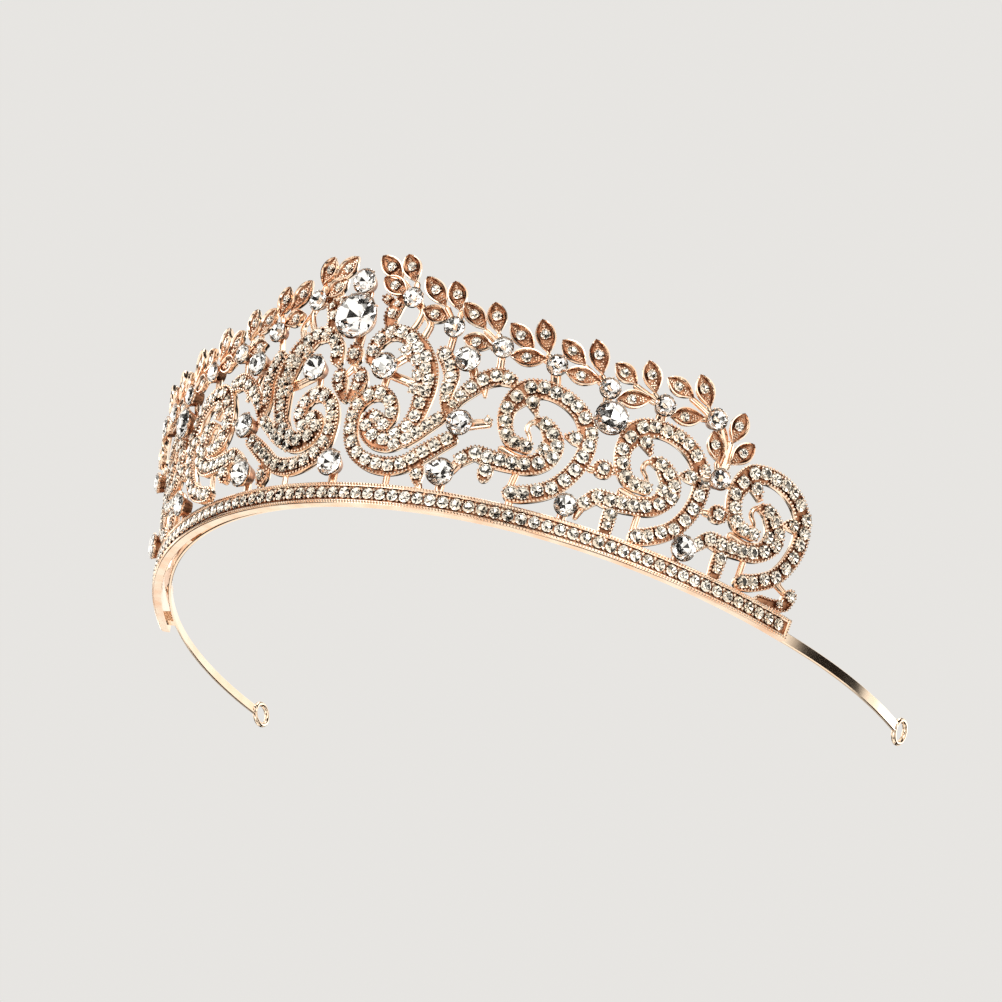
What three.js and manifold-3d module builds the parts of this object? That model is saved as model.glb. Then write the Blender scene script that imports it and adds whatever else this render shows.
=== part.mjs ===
// Bridal tiara: cast openwork scrolls, leaf sprays and set stones on a curved channel band,
// with a flat strip hoop behind the band that runs on as two arms, each ending in a wire loop.
//
// The openwork is drawn on a flat sheet and then bent. On the sheet x runs along the band from
// the front centre, y is the height up the face and z stands out of the face, all in millimetres.
// The bent model has +Z up and its front towards -Y. Its origin is the middle of the band's
// underside at the front centre.

import * as THREE from "three";
import { mergeVertices } from "three/addons/utils/BufferGeometryUtils.js";
import Module from "manifold-3d";

const wasm = await Module();
wasm.setup();

// Plan of the face's lower edge, an ellipse seen from above, and the lean of the face
const planHalfWidth = 83.5;
const planDepth = 100;
const faceLean = THREE.MathUtils.degToRad(8.8);

// Band
const bandHalfLength = 101;
const bandHeight = 4.4;
const bandThickness = 1.8;
const channelDepth = 0.5;
const channelWall = 0.75;

// Hoop, its lugs and its end loops
const hoopHeight = 2.2;
const hoopThickness = 0.7;
const hoopGap = 1.3;
const hoopLift = 1;
const armLength = 45.5;
const armRise = 1.1;
const armTuck = 0.9; // how far the arms close in at their ends, inside the plan curve
const lugWidth = 2.4;
const lugInset = 3;
const lugPlaces = [18, 50];
const loopRadius = 2.4;
const loopWire = 1.1;

// Castings
const panelThickness = 1.6;
const jointGap = 0.3;
const sheetBandHeight = 4.4; // band height on the sheet that the motifs are placed on
const leafWidth = 3.4;
const leafBelly = 0.42; // place of the widest part, as a share of the length from the tip
const stemWidth = 1.3;
const sprayCupRadius = 2.1;
const sprayFlare = 0.022; // how much the sprays stand forward, for each millimetre from the centre

// Stones, by radius
const centreStone = 4.8;
const crownStone = 2.6;
const baseStone = 2.75;
const innerStone = 2.75;
const plumeStone = 2.6;
const sideStone = 3.4;
const footStones = [2.8, 2.3, 2.6];

// Cut of a stone and size of its collet, as shares of the stone's radius
const pavilionShare = 0.8;
const crownShare = 0.34;
const tableShare = 0.58;
const colletShare = 0.92;
const boreShare = 0.68;
const girdle = 0.25;
const colletRim = 0.3;

// Fineness of the mesh
const ribbonStep = 3;
const bandStep = 5.2;
const capSides = 3;
const discSides = 10;
const stoneSides = 10;
const leafSides = 3;
const loopSides = 6;
const loopSteps = 16;

const roseGold = { color: 0xd99a7c, roughness: 0.22, metalness: 1 };
const paleGold = { color: 0xdcae92, roughness: 0.18, metalness: 1 };
const crystal = { color: 0xf2f6fa, roughness: 0.02, metalness: 0 };

const lift = bandHeight - sheetBandHeight;
const cutReach = 2; // how far a clearing cut runs past both faces of the sheet
const boreReach = 0.001; // growth that makes a bore run past both faces

// Plan curve, measured by arc length from the front centre
const plan = new THREE.EllipseCurve(0, planDepth, planHalfWidth, planDepth, -Math.PI / 2, Math.PI / 2);
plan.arcLengthDivisions = 600;
const planLength = plan.getLength();

function bendPoint(x, y, z) {
  const side = x < 0 ? -1 : 1;
  const along = Math.abs(x) / planLength;
  const foot = plan.getPointAt(along);
  const tangent = plan.getTangentAt(along);
  const out = y * Math.sin(faceLean) + z;
  const back = foot.y - tangent.x * out - bandThickness / 2;
  return new THREE.Vector3(side * (foot.x + tangent.y * out), back, y * Math.cos(faceLean));
}

// Directions along the band, up the face and out of it, at a place on the sheet
function bendTurn(x, y) {
  const along = bendPoint(x + 0.05, y, 0).sub(bendPoint(x - 0.05, y, 0)).normalize();
  const up = bendPoint(x, y + 1, 0).sub(bendPoint(x, y, 0)).normalize();
  const out = new THREE.Vector3().crossVectors(along, up);
  return new THREE.Matrix4().makeBasis(along, up, out);
}

function toSolid(geometry) {
  geometry.deleteAttribute("normal");
  geometry.deleteAttribute("uv");
  const merged = mergeVertices(geometry);
  const vertProperties = merged.attributes.position.array;
  const triVerts = new Uint32Array(merged.index.array);
  return new wasm.Manifold(new wasm.Mesh({ numProp: 3, vertProperties, triVerts }));
}

function toGeometry(solid) {
  const mesh = solid.getMesh();
  const geometry = new THREE.BufferGeometry();
  geometry.setAttribute("position", new THREE.BufferAttribute(new Float32Array(mesh.vertProperties), 3));
  geometry.setIndex(new THREE.BufferAttribute(new Uint32Array(mesh.triVerts), 1));
  return geometry;
}

// Bends a sheet piece. With a flare its front stands forward, more towards the sides.
function bend(geometry, flare = 0) {
  const place = geometry.attributes.position;
  for (let i = 0; i < place.count; i += 1) {
    const proud = place.getZ(i) >= 0 ? flare * Math.abs(place.getX(i)) : 0;
    const bent = bendPoint(place.getX(i), place.getY(i), place.getZ(i) + proud);
    place.setXYZ(i, bent.x, bent.y, bent.z);
  }
  geometry.computeVertexNormals();
  return geometry;
}

const joined = (solids) => solids.reduce((whole, solid) => whole.add(solid));
const cutBy = (solid, cutters) => cutters.reduce((left, cutter) => left.subtract(cutter), solid);

// A prism through the sheet. With a margin it is grown outwards and past both faces, to cut with.
function prism(outline, margin, low = -panelThickness, high = 0) {
  const reach = margin > 0 ? cutReach : 0;
  const options = { depth: high - low + 2 * reach, bevelEnabled: false, curveSegments: leafSides };
  return toSolid(new THREE.ExtrudeGeometry(outline, options).translate(0, 0, low - reach));
}

// A strip of changing width along a smooth line. Each point is [x, y, width].
function ribbon(points, margin = 0) {
  const line = new THREE.CatmullRomCurve3(points.map(([x, y, width]) => new THREE.Vector3(x, y, width)));
  const steps = Math.max(points.length - 1, Math.round(line.getLength() / ribbonStep));
  const left = [];
  const right = [];
  const heading = [];
  for (let i = 0; i <= steps; i += 1) {
    const tangent = line.getTangentAt(i / steps);
    heading.push(Math.atan2(tangent.y, tangent.x));
  }
  for (let i = 0; i <= steps; i += 1) {
    const at = line.getPointAt(i / steps);
    const before = heading[Math.max(0, i - 1)];
    const after = heading[Math.min(steps, i + 1)];
    const turn = Math.atan2(Math.sin(after - before), Math.cos(after - before));
    const span = (line.getLength() / steps) * (Math.min(steps, i + 1) - Math.max(0, i - 1));
    const insideLimit = (0.9 * span) / Math.max(1e-6, Math.abs(turn));
    const half = at.z / 2 + margin;
    const leftHalf = turn > 0 ? Math.min(half, insideLimit) : half;
    const rightHalf = turn < 0 ? Math.min(half, insideLimit) : half;
    const side = new THREE.Vector2(-Math.sin(heading[i]), Math.cos(heading[i]));
    left.push(new THREE.Vector2(at.x + side.x * leftHalf, at.y + side.y * leftHalf));
    right.push(new THREE.Vector2(at.x - side.x * rightHalf, at.y - side.y * rightHalf));
  }
  const endCap = cap(points.at(-1), heading.at(-1), margin);
  const startCap = cap(points[0], heading[0] + Math.PI, margin);
  return prism(new THREE.Shape([...right, ...endCap, ...left.reverse(), ...startCap]), margin);
}

// The round end of a strip, from its right side to its left side
function cap([x, y, width], heading, margin) {
  const radius = width / 2 + margin;
  const points = [];
  for (let i = 1; i < capSides; i += 1) {
    const angle = heading - Math.PI / 2 + (Math.PI * i) / capSides;
    points.push(new THREE.Vector2(x + radius * Math.cos(angle), y + radius * Math.sin(angle)));
  }
  return points;
}

function disc([x, y], radius, margin = 0, high = 0) {
  const outline = new THREE.Shape();
  for (let i = 0; i < discSides; i += 1) {
    const angle = (2 * Math.PI * i) / discSides;
    const across = (radius + margin) / Math.cos(Math.PI / discSides);
    outline[i === 0 ? "moveTo" : "lineTo"](x + across * Math.cos(angle), y + across * Math.sin(angle));
  }
  return prism(outline, margin, -panelThickness, high);
}

// A pointed leaf, widest nearer its tip
function leaf(tip, base, margin = 0) {
  const along = new THREE.Vector2(base[0] - tip[0], base[1] - tip[1]);
  const length = along.length();
  along.normalize();
  const across = new THREE.Vector2(-along.y, along.x);
  const at = (distance, offset) => [
    tip[0] + along.x * distance + across.x * offset,
    tip[1] + along.y * distance + across.y * offset,
  ];
  const outline = new THREE.Shape();
  outline.moveTo(...at(-margin, -margin / 2));
  const belly = length * leafBelly;
  const reach = leafWidth + margin;
  outline.quadraticCurveTo(...at(belly, -reach), ...at(length + margin, -margin / 2));
  outline.lineTo(...at(length + margin, margin / 2 + 0.1));
  outline.quadraticCurveTo(...at(belly, reach), ...at(-margin, margin / 2 + 0.1));
  return prism(outline, margin);
}

// A collet is a ring under its stone. Its bore is cut once it has joined its casting.
const colletRing = (place, stone, margin = 0) => disc(place, stone * colletShare, margin, colletRim);
const colletBore = (place, stone) => disc(place, stone * boreShare, boreReach);

// Height of a stone's girdle above the face, with its pavilion clear of the collet's bore
const seatRise = (stone) => colletRim + (1 - boreShare) * pavilionShare * stone + 1.3 * jointGap;

// A bar along the band. Its outline runs from the face inwards and from the underside upwards,
// and it may climb and tuck inwards along its length.
function bar(outline, halfLength, climb = () => 0, tuck = () => 0) {
  const steps = Math.round((2 * halfLength) / bandStep);
  const shape = new THREE.Shape(outline.map(([depth, y]) => new THREE.Vector2(depth, y)));
  const geometry = new THREE.ExtrudeGeometry(shape, { depth: 2 * halfLength, steps, bevelEnabled: false });
  geometry.translate(0, 0, -halfLength).rotateY(Math.PI / 2);
  const place = geometry.attributes.position;
  for (let i = 0; i < place.count; i += 1) {
    place.setY(i, place.getY(i) + climb(Math.abs(place.getX(i))));
    place.setZ(i, place.getZ(i) - tuck(Math.abs(place.getX(i))));
  }
  return geometry;
}

const box = (depth0, depth1, y0, y1) => [[depth0, y0], [depth1, y0], [depth1, y1], [depth0, y1]];

// The band is a bar with a channel along its face, where the row of small stones sits
function makeBand() {
  const section = [
    [0, 0], [bandThickness, 0], [bandThickness, bandHeight], [0, bandHeight],
    [0, bandHeight - channelWall], [channelDepth, bandHeight - channelWall],
    [channelDepth, channelWall], [0, channelWall],
  ];
  return bar(section, bandHalfLength);
}

const hoopFront = bandThickness + hoopGap;
const armShare = (x) => Math.max(0, x - bandHalfLength) / armLength;
const armClimb = (x) => armRise * armShare(x);
const armClose = (x) => armTuck * armShare(x) ** 2;

function makeHoop() {
  const section = box(hoopFront, hoopFront + hoopThickness, hoopLift, hoopLift + hoopHeight);
  return bar(section, bandHalfLength + armLength, armClimb, armClose);
}

// A lug bridges the gap between the band's back and the hoop
function makeLug(x) {
  const low = -hoopFront + jointGap;
  const high = -bandThickness - jointGap;
  const outline = new THREE.Shape();
  outline.moveTo(x - lugWidth / 2, hoopLift);
  outline.lineTo(x + lugWidth / 2, hoopLift);
  outline.lineTo(x + lugWidth / 2, hoopLift + hoopHeight);
  outline.lineTo(x - lugWidth / 2, hoopLift + hoopHeight);
  return toGeometry(prism(outline, 0, low, high));
}

const raised = (points) => points.map(([x, y, ...rest]) => [x, y + lift, ...rest]);

// What every casting keeps clear of: the band's top edge
function bandClearance() {
  const outline = new THREE.Shape();
  const reach = bandHalfLength + cutReach;
  outline.moveTo(-reach, -cutReach);
  outline.lineTo(reach, -cutReach);
  outline.lineTo(reach, bandHeight + jointGap);
  outline.lineTo(-reach, bandHeight + jointGap);
  return prism(outline, jointGap);
}

// One scroll casting, drawn about its eye: an outer C scroll, an inner S scroll and its lobes
const outerScroll = [
  [0, -12, 3.2], [2.2, -11.2, 3.4], [6.6, -8, 3.4], [9.3, -2.5, 3.4], [9.5, 3.2, 3.4], [6.65, 7.85, 3.4],
  [2.4, 10, 3.4], [-2.3, 10.1, 3.6], [-5.2, 8.4, 4.6], [-7.1, 4.4, 3.4], [-6.6, 1, 3], [-4.6, -1.8, 2.8],
  [-1, -2.15, 2.6],
];
const innerScroll = [
  [-11.6, -9.1, 2.6], [-9.5, -7, 3], [-6.8, -7, 3.4], [-2.15, -6.4, 3.4], [1.6, -5, 3.8], [3.7, -2, 4.2],
  [3.5, 0.7, 4], [1, 3.4, 3], [-0.8, 3.7, 1.8],
];
const scrollLobes = [
  [[-3.4, 6.8, 2.6], [-1.9, 5, 0.8]],
  [[8, 3.6, 2.6], [6.4, 3.5, 2.4], [5.1, 3.2, 0.8]],
  [[-0.7, -7, 1.4], [-0.7, -11, 1.4]],
  [[-11.6, -9.1, 2.4], [-12.4, -12, 1.2]],
  [[-5, -4.2, 1.9], [-1.5, -4.6, 1.9], [1.8, -3.4, 1.6]],
  [[-0.8, 3.7, 1.4], [-2.1, 3.1, 1.1], [-2.3, 1.6, 1.1], [-1.2, 0.3, 0.9], [-0.7, -1.4, 0.9]],
];

const footLobe = (drop) => [[-6.2, -9, 2.8], [-6.2, -10.7, 2.9], [-6.2, -drop, 2.6]];

// Where the three scrolls of a side go. The first one leans a little, and its foot lobe hangs free.
const scrollPlaces = [
  { eye: [39.2, 18.7], turn: THREE.MathUtils.degToRad(-9.5), lobeDrop: 11.2, footStone: [23.2, 7.8] },
  { eye: [63, 18], turn: 0, lobeDrop: 14, footStone: [48, 7] },
  { eye: [87, 18.3], turn: 0, lobeDrop: 14, footStone: [72.4, 6.9] },
];
const sideStonePlace = [51.8, 26.5];
const firstScrollPost = [[37.4, 7.5, 1.6], [37.4, 2, 1.6]];
const endCurl = [[92, 4.6, 1.6], [95, 5.2, 1.7], [98, 6.2, 2], [98.8, 8.3, 2.2]];
const endCurlStem = [[93.6, 10.4, 2.4], [96.6, 9.2, 1.6], [98.4, 8.6, 1.6]];

function placedAt(points, { eye, turn }) {
  const spin = ([x, y, width]) => [
    eye[0] + x * Math.cos(turn) - y * Math.sin(turn),
    eye[1] + lift + x * Math.sin(turn) + y * Math.cos(turn),
    width,
  ];
  return points.map(spin);
}

function makeScroll(index, margin = 0) {
  const place = scrollPlaces[index];
  const footPlace = raised([place.footStone])[0];
  const drawn = [outerScroll, innerScroll, footLobe(place.lobeDrop), ...scrollLobes];
  const strips = drawn.map((strip) => placedAt(strip, place));
  const tail = strips[1][0];
  strips.push([tail, [footPlace[0], footPlace[1], stemWidth]]);
  if (index === 0) strips.push(firstScrollPost);
  const solids = strips.map((strip) => ribbon(strip, margin));
  solids.push(colletRing(footPlace, footStones[index], margin));
  const bores = [colletBore(footPlace, footStones[index])];
  if (index === 1) {
    const side = raised([sideStonePlace])[0];
    const shoulder = strips[0][8];
    solids.push(colletRing(side, sideStone, margin), ribbon([[...side, 2], shoulder], margin));
    bores.push(colletBore(side, sideStone));
  }
  if (index === 2) {
    solids.push(ribbon(raised(endCurl), margin), ribbon(raised(endCurlStem), margin));
  }
  return cutBy(joined(solids), margin > 0 ? [] : bores);
}

// The large scroll beside the centre: a hooked C, the arm that sweeps below it and a short stem
const innerStonePlace = [7.7, 28.4];
const centreHook = [
  [3.9, 30.6, 2.6], [4.3, 33.6, 2.8], [6.6, 36, 3], [9.6, 36, 3.2], [13, 33.6, 4.2], [15.3, 30, 4.4],
  [16.2, 26, 4.4], [16, 22, 3.8], [15.3, 18.5, 3.4], [13.6, 15, 4.2], [10.8, 13.4, 4.2], [7.8, 13.8, 3.8],
  [5.9, 16, 3.4], [6.6, 18.3, 3.2], [8.3, 17.8, 2.6],
];
const centreArm = [
  [9.4, 16.6, 2.4], [10.5, 19, 2.6], [9.7, 21.8, 2.8], [7.5, 23.3, 3], [4.9, 22.8, 3], [2.9, 20.5, 2.8],
  [2.3, 17.2, 2.8], [3, 13.2, 2.9], [5, 10.3, 3], [8.3, 8.7, 3.4], [12, 8.3, 3.6], [15.4, 9.2, 3.4],
  [18.4, 11.5, 3.6], [21.2, 13.8, 3.4], [23.3, 15.4, 3],
];
const centreStem = [[14.4, 13.8, 2.4], [16.2, 15.2, 2.4], [18, 17, 2.4], [19.8, 18.8, 2.4], [20.8, 19.8, 2]];
const centrePosts = [
  [[12, 8.5, 1.4], [12, 2, 1.4]],
  [[18, 11, 1.6], [18.3, 7.2, 2.6], [19.4, 2, 1.6]],
  [[11, 31.6, 2], [14, 31.8, 3.4]],
  [[12.8, 26.3, 2.2], [15.6, 26.3, 3]],
  [[11, 31.8, 2], [7.7, 28.4, 1.8], [12.8, 26.2, 2]],
  [[7.7, 28.4, 1.6], [7.2, 23.4, 1.6]],
];

function makeCentreScroll(margin = 0) {
  const place = raised([innerStonePlace])[0];
  const strips = [centreHook, centreArm, centreStem, ...centrePosts].map(raised);
  const solids = strips.map((strip) => ribbon(strip, margin));
  solids.push(colletRing(place, innerStone, margin));
  return cutBy(joined(solids), margin > 0 ? [] : [colletBore(place, innerStone)]);
}

// The plume between the centre scroll and the first side scroll, with two set stones
const plumePlaces = [[23.4, 31.6], [24.6, 18.4]];
const plumeStrips = [
  [[18.4, 32.5, 3], [19.9, 30.3, 3.2], [20.8, 27.8, 3], [20.5, 25, 2.6], [20.6, 22.6, 1.8],
    [21.4, 20.4, 1.6]],
  [[21.6, 20.4, 1.6], [22.9, 23.4, 2.2], [25, 26.3, 3.2], [27.5, 28.7, 3.4], [30, 29.7, 3.4],
    [32, 29.4, 2.4]],
  [[27.2, 27.6, 1.8], [27.8, 25.4, 0.8]],
  [[21.4, 20.6, 1.8], [24.6, 18.4, 1.8]],
  [[19.9, 30.4, 1.8], [23.4, 31.6, 1.8], [25.6, 27.6, 1.8]],
  [[24.6, 18.4, 2], [27.6, 19.6, 2.2], [29.6, 20, 1.8]],
];

function makePlume(margin = 0) {
  const solids = plumeStrips.map((strip) => ribbon(raised(strip), margin));
  const places = raised(plumePlaces);
  solids.push(...places.map((place) => colletRing(place, plumeStone, margin)));
  return cutBy(joined(solids), margin > 0 ? [] : places.map((place) => colletBore(place, plumeStone)));
}

// Cups that link one side scroll to the next
const linkPlaces = [[53.2, 16.7], [77.6, 16.7]];
const linkReach = 2.4;

function makeLink([x, y], margin = 0) {
  const strip = raised([[x - linkReach, y - 0.5, 1.6], [x, y, 2.9], [x + linkReach, y + 0.8, 1.8]]);
  return ribbon(strip, margin);
}

// The setting at the centre: the collets of the centre and crown stones over a tulip of two leaves
const centrePlace = [0, 38.8];
const colletBridge = 0.9;
const crownRise = (centreStone + crownStone) * colletShare + colletBridge;
const crownPlace = [0, centrePlace[1] + crownRise];
const tulipLeaf = [[0.7, 22.2, 1.6], [1.7, 24.2, 2.5], [2.3, 26, 3.3], [2.3, 27.3, 2.6]];
const tulipNeck = [[0, 30.6, 2.8], [0, 31.5, 3.4], [0, 36, 2.6]];
const tulipShoulder = [[2.1, 27.2, 1.6], [0.8, 28.2, 1.5], [0, 29.5, 1.7], [0, 31.5, 2]];

const mirrored = (points) => points.map(([x, ...rest]) => [-x, ...rest]);

function makeCentreSetting(margin = 0) {
  const [centre, crown] = raised([centrePlace, crownPlace]);
  const halves = [tulipLeaf, tulipShoulder].flatMap((strip) => [strip, mirrored(strip)]);
  const strips = [tulipNeck, [[...centrePlace, 2], [...crownPlace, 2]], ...halves];
  const solids = strips.map((strip) => ribbon(raised(strip), margin));
  solids.push(colletRing(centre, centreStone, margin), colletRing(crown, crownStone, margin));
  const bores = [colletBore(centre, centreStone), colletBore(crown, crownStone)];
  return cutBy(joined(solids), margin > 0 ? [] : bores);
}

// The stone at the foot of the centre, on its own post
const basePlace = [0, 8];

function makeBaseCollet(margin = 0) {
  const place = raised([basePlace])[0];
  const solids = [colletRing(place, baseStone, margin), ribbon([[...place, 2], [0, 2, 2]], margin)];
  return cutBy(joined(solids), margin > 0 ? [] : [colletBore(place, baseStone)]);
}

// The garland: leaf sprays, each with a cup, leaves given as tip and base, and struts to the scrolls
const sprays = [
  {
    cup: [10.3, 43.4],
    leaves: [[[2.5, 52.1], [7.5, 46.9]], [[7.8, 52.4], [10, 46.7]], [[3.8, 47.4], [9, 43.9]]],
    struts: [
      [[7.8, 43.4, 2], [6.8, 41.6, 2.8], [6.5, 39.4, 2.8], [6.9, 37.2, 2]],
      [[10.2, 43.6, 1.6], [12.2, 41.4, 1.5], [11.6, 38.6, 1.5], [10.8, 37.2, 1.4]],
      [[12.2, 41.4, 1.5], [14.2, 38.8, 1.5], [13.6, 36.2, 1.6]],
    ],
  },
  {
    cup: [19.5, 37.9],
    leaves: [[[12.3, 47.8], [17, 42]], [[17.8, 47.3], [19.8, 41.3]], [[12.8, 40.8], [18.2, 39.3]]],
    struts: [
      [[19.4, 38.1, 1.5], [19, 32.8, 1.5]],
    ],
  },
  {
    cup: [29.3, 35.2],
    leaves: [[[20.4, 43], [25.4, 38.3]], [[26, 44], [27.9, 37.8]], [[21.6, 35.6], [27.4, 35.1]]],
    struts: [
      [[29.1, 35.4, 1.5], [29.5, 29.8, 1.5]],
    ],
  },
  {
    cup: [39.7, 33.9],
    leaves: [[[29.6, 40.2], [35, 35.7]], [[35, 42.3], [37.8, 35.7]], [[31, 33.5], [37.8, 34.7]]],
    struts: [
      [[39.5, 34.1, 2], [40.8, 28.7, 2]],
    ],
  },
  {
    cup: [50.1, 32.2],
    leaves: [[[39.4, 39], [44.7, 35.4]], [[45.2, 40.9], [48.2, 34.4]], [[41.4, 32.8], [48.2, 33.1]]],
    struts: [
      [[50, 32.5, 1.8], [51, 27.6, 1.8]],
    ],
  },
  {
    cup: [60.7, 32.4],
    leaves: [[[49.7, 37.2], [54.7, 34.6]], [[55.4, 39.9], [58.5, 34.1]], [[51.7, 30.2], [58.2, 32.8]]],
    struts: [
      [[60.9, 32.8, 2], [61.1, 27.6, 2]],
    ],
  },
  {
    cup: [70.9, 33.7],
    leaves: [[[59.5, 37.7], [65.5, 36]], [[65.2, 40.8], [69, 35.3]], [[62.2, 30.5], [68.5, 33]]],
    struts: [],
  },
  {
    cup: [75, 22.6],
    leaves: [[[70.7, 31], [73.9, 25.5]], [[75.5, 36.9], [75.2, 30.3]], [[79.2, 31.8], [75.9, 26]]],
    struts: [
      [[75.4, 23.1, 1.6], [75.2, 30.5, 1.4]],
      [[75, 27.5, 1.2], [73, 31.9, 2.2], [71.8, 33.3, 1.4]],
      [[75.4, 23.1, 1.6], [81.4, 23.3, 1.6]],
      [[75.4, 23.1, 1.6], [70.4, 21.5, 1.6]],
    ],
  },
];

function makeSpray({ cup, leaves, struts }, margin = 0) {
  const cupPlace = raised([cup])[0];
  const solids = [disc(cupPlace, sprayCupRadius, margin)];
  for (const [tip, base] of leaves) {
    const [high, low] = raised([tip, base]);
    solids.push(leaf(high, low, margin), ribbon([[...low, stemWidth], [...cupPlace, stemWidth]], margin));
  }
  solids.push(...struts.map((strut) => ribbon(raised(strut), margin)));
  return joined(solids);
}

// The largest body of a casting once its neighbours have been cleared from it
function mainBody(solid) {
  const bodies = solid.decompose();
  bodies.sort((a, b) => b.volume() - a.volume());
  return bodies[0];
}

// Castings of the right side and the centre, each cut clear of the ones before it
const castings = [
  ["centre_setting", makeCentreSetting],
  ["centre_foot_collet", makeBaseCollet],
  ["centre_scroll", makeCentreScroll],
  ...scrollPlaces.map((place, i) => [`side_scroll_${i + 1}`, (margin) => makeScroll(i, margin)]),
  ["plume", makePlume],
  ...linkPlaces.map((place, i) => [`scroll_link_${i + 1}`, (margin) => makeLink(place, margin)]),
  ...sprays.map((spray, i) => [`leaf_spray_${i + 1}`, (margin) => makeSpray(spray, margin)]),
];

function makeCastings() {
  const cutters = [bandClearance()];
  const made = {};
  for (const [name, make] of castings) {
    const flare = name.startsWith("leaf_spray") ? sprayFlare : 0;
    made[name] = bend(toGeometry(mainBody(cutBy(make(), cutters))), flare);
    cutters.push(make(jointGap));
  }
  return made;
}

function makeStone(radius) {
  const profile = [
    [0, -radius * pavilionShare], [radius, 0], [radius, girdle],
    [radius * tableShare, girdle + radius * crownShare], [0, girdle + radius * crownShare],
  ];
  const points = profile.map(([across, along]) => new THREE.Vector2(across, along));
  return new THREE.LatheGeometry(points, stoneSides).rotateX(Math.PI / 2);
}

function seatStone(mesh, [x, y], radius) {
  mesh.position.copy(bendPoint(x, y + lift, seatRise(radius)));
  mesh.quaternion.setFromRotationMatrix(bendTurn(x, y + lift));
}

function named(name, geometry, look) {
  const mesh = new THREE.Mesh(geometry, new THREE.MeshStandardMaterial(look));
  mesh.name = name;
  return mesh;
}

const tiara = new THREE.Group();
const halves = { right: new THREE.Group(), left: new THREE.Group() };
halves.left.scale.x = -1;
tiara.add(halves.right, halves.left);

tiara.add(named("base_band", bend(makeBand()), roseGold));
tiara.add(named("hoop_strip", bend(makeHoop()), paleGold));

const made = makeCastings();
const isCentral = (name) => name === "centre_setting" || name === "centre_foot_collet";
for (const name of Object.keys(made).filter(isCentral)) {
  tiara.add(named(name, made[name], roseGold));
}

const centralStones = [
  ["centre_stone", centrePlace, centreStone],
  ["crown_stone", crownPlace, crownStone],
  ["centre_foot_stone", basePlace, baseStone],
];
for (const [name, place, radius] of centralStones) {
  const mesh = named(name, makeStone(radius), crystal);
  seatStone(mesh, place, radius);
  tiara.add(mesh);
}

const sideStones = [
  ["inner_stone", innerStonePlace, innerStone],
  ["plume_stone_upper", plumePlaces[0], plumeStone],
  ["plume_stone_lower", plumePlaces[1], plumeStone],
  ["side_stone", sideStonePlace, sideStone],
  ...scrollPlaces.map(({ footStone }, i) => [`foot_stone_${i + 1}`, footStone, footStones[i]]),
];
const lugXs = [...lugPlaces, bandHalfLength - lugInset];
const loopX = bandHalfLength + armLength + jointGap + loopRadius + loopWire / 2;
const loopY = hoopLift + hoopHeight / 2 + armClimb(loopX);
const loopZ = -hoopFront - hoopThickness / 2 - armClose(loopX);

for (const [side, half] of Object.entries(halves)) {
  for (const name of Object.keys(made).filter((key) => !isCentral(key))) {
    half.add(named(`${name}_${side}`, made[name], roseGold));
  }
  for (const [name, place, radius] of sideStones) {
    const mesh = named(`${name}_${side}`, makeStone(radius), crystal);
    seatStone(mesh, place, radius);
    half.add(mesh);
  }
  lugXs.forEach((x, i) => half.add(named(`hoop_lug_${i + 1}_${side}`, bend(makeLug(x)), paleGold)));
  const ring = new THREE.TorusGeometry(loopRadius, loopWire / 2, loopSides, loopSteps);
  const loop = named(`end_loop_${side}`, ring, paleGold);
  loop.position.copy(bendPoint(loopX, loopY, loopZ));
  loop.quaternion.setFromRotationMatrix(bendTurn(loopX, loopY));
  half.add(loop);
}

export default tiara;
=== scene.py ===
# Bridal tiara in rose gold: scrolls and leaf sprays set with crystals on a channel band, with a
# pale gold hoop behind it that ends in two wire loops.
# The openwork is laid out on a flat sheet in millimetres and bent round the head: x runs along
# the band from the front centre, y up the face and z out of it. The frame itself is in metres.

import math
from bisect import bisect_right

import bmesh
import bpy
from mathutils import Matrix, Vector
from mathutils.kdtree import KDTree


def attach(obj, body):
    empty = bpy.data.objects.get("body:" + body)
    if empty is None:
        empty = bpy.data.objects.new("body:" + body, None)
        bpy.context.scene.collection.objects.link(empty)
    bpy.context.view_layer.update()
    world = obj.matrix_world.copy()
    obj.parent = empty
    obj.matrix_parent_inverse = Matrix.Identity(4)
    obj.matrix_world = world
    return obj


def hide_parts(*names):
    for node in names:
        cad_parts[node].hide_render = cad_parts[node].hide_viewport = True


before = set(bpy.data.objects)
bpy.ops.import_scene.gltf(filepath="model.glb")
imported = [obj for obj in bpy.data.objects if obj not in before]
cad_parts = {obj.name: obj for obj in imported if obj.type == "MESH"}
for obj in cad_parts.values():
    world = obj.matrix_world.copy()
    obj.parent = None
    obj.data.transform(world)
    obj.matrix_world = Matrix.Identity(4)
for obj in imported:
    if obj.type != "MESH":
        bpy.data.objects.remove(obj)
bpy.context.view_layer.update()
link = bpy.context.scene.collection.objects.link

# ---- camera

shot = {
    "place": (0.47122, -0.62678, -0.34177),
    "azimuth": 34.54,
    "elevation": -24.233,
    "roll": 15.583,
    "lens": 155.91,
}


def makeCamera():
    turn = math.radians(shot["azimuth"])
    climb = math.radians(shot["elevation"])
    roll = math.radians(shot["roll"])
    back = Vector((math.sin(turn) * math.cos(climb), -math.cos(turn) * math.cos(climb), math.sin(climb)))
    right = Vector((math.cos(turn), math.sin(turn), 0))
    up = back.cross(right)
    across = right * math.cos(roll) + up * math.sin(roll)
    upright = up * math.cos(roll) - right * math.sin(roll)
    lens = bpy.data.cameras.new("camera")
    lens.lens = shot["lens"]
    lens.sensor_width = 36
    lens.clip_start = 0.01
    lens.clip_end = 50
    camera = bpy.data.objects.new("camera", lens)
    aim = Matrix((across, upright, back)).transposed().to_4x4()
    camera.matrix_world = Matrix.Translation(shot["place"]) @ aim
    link(camera)
    bpy.context.scene.camera = camera


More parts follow.
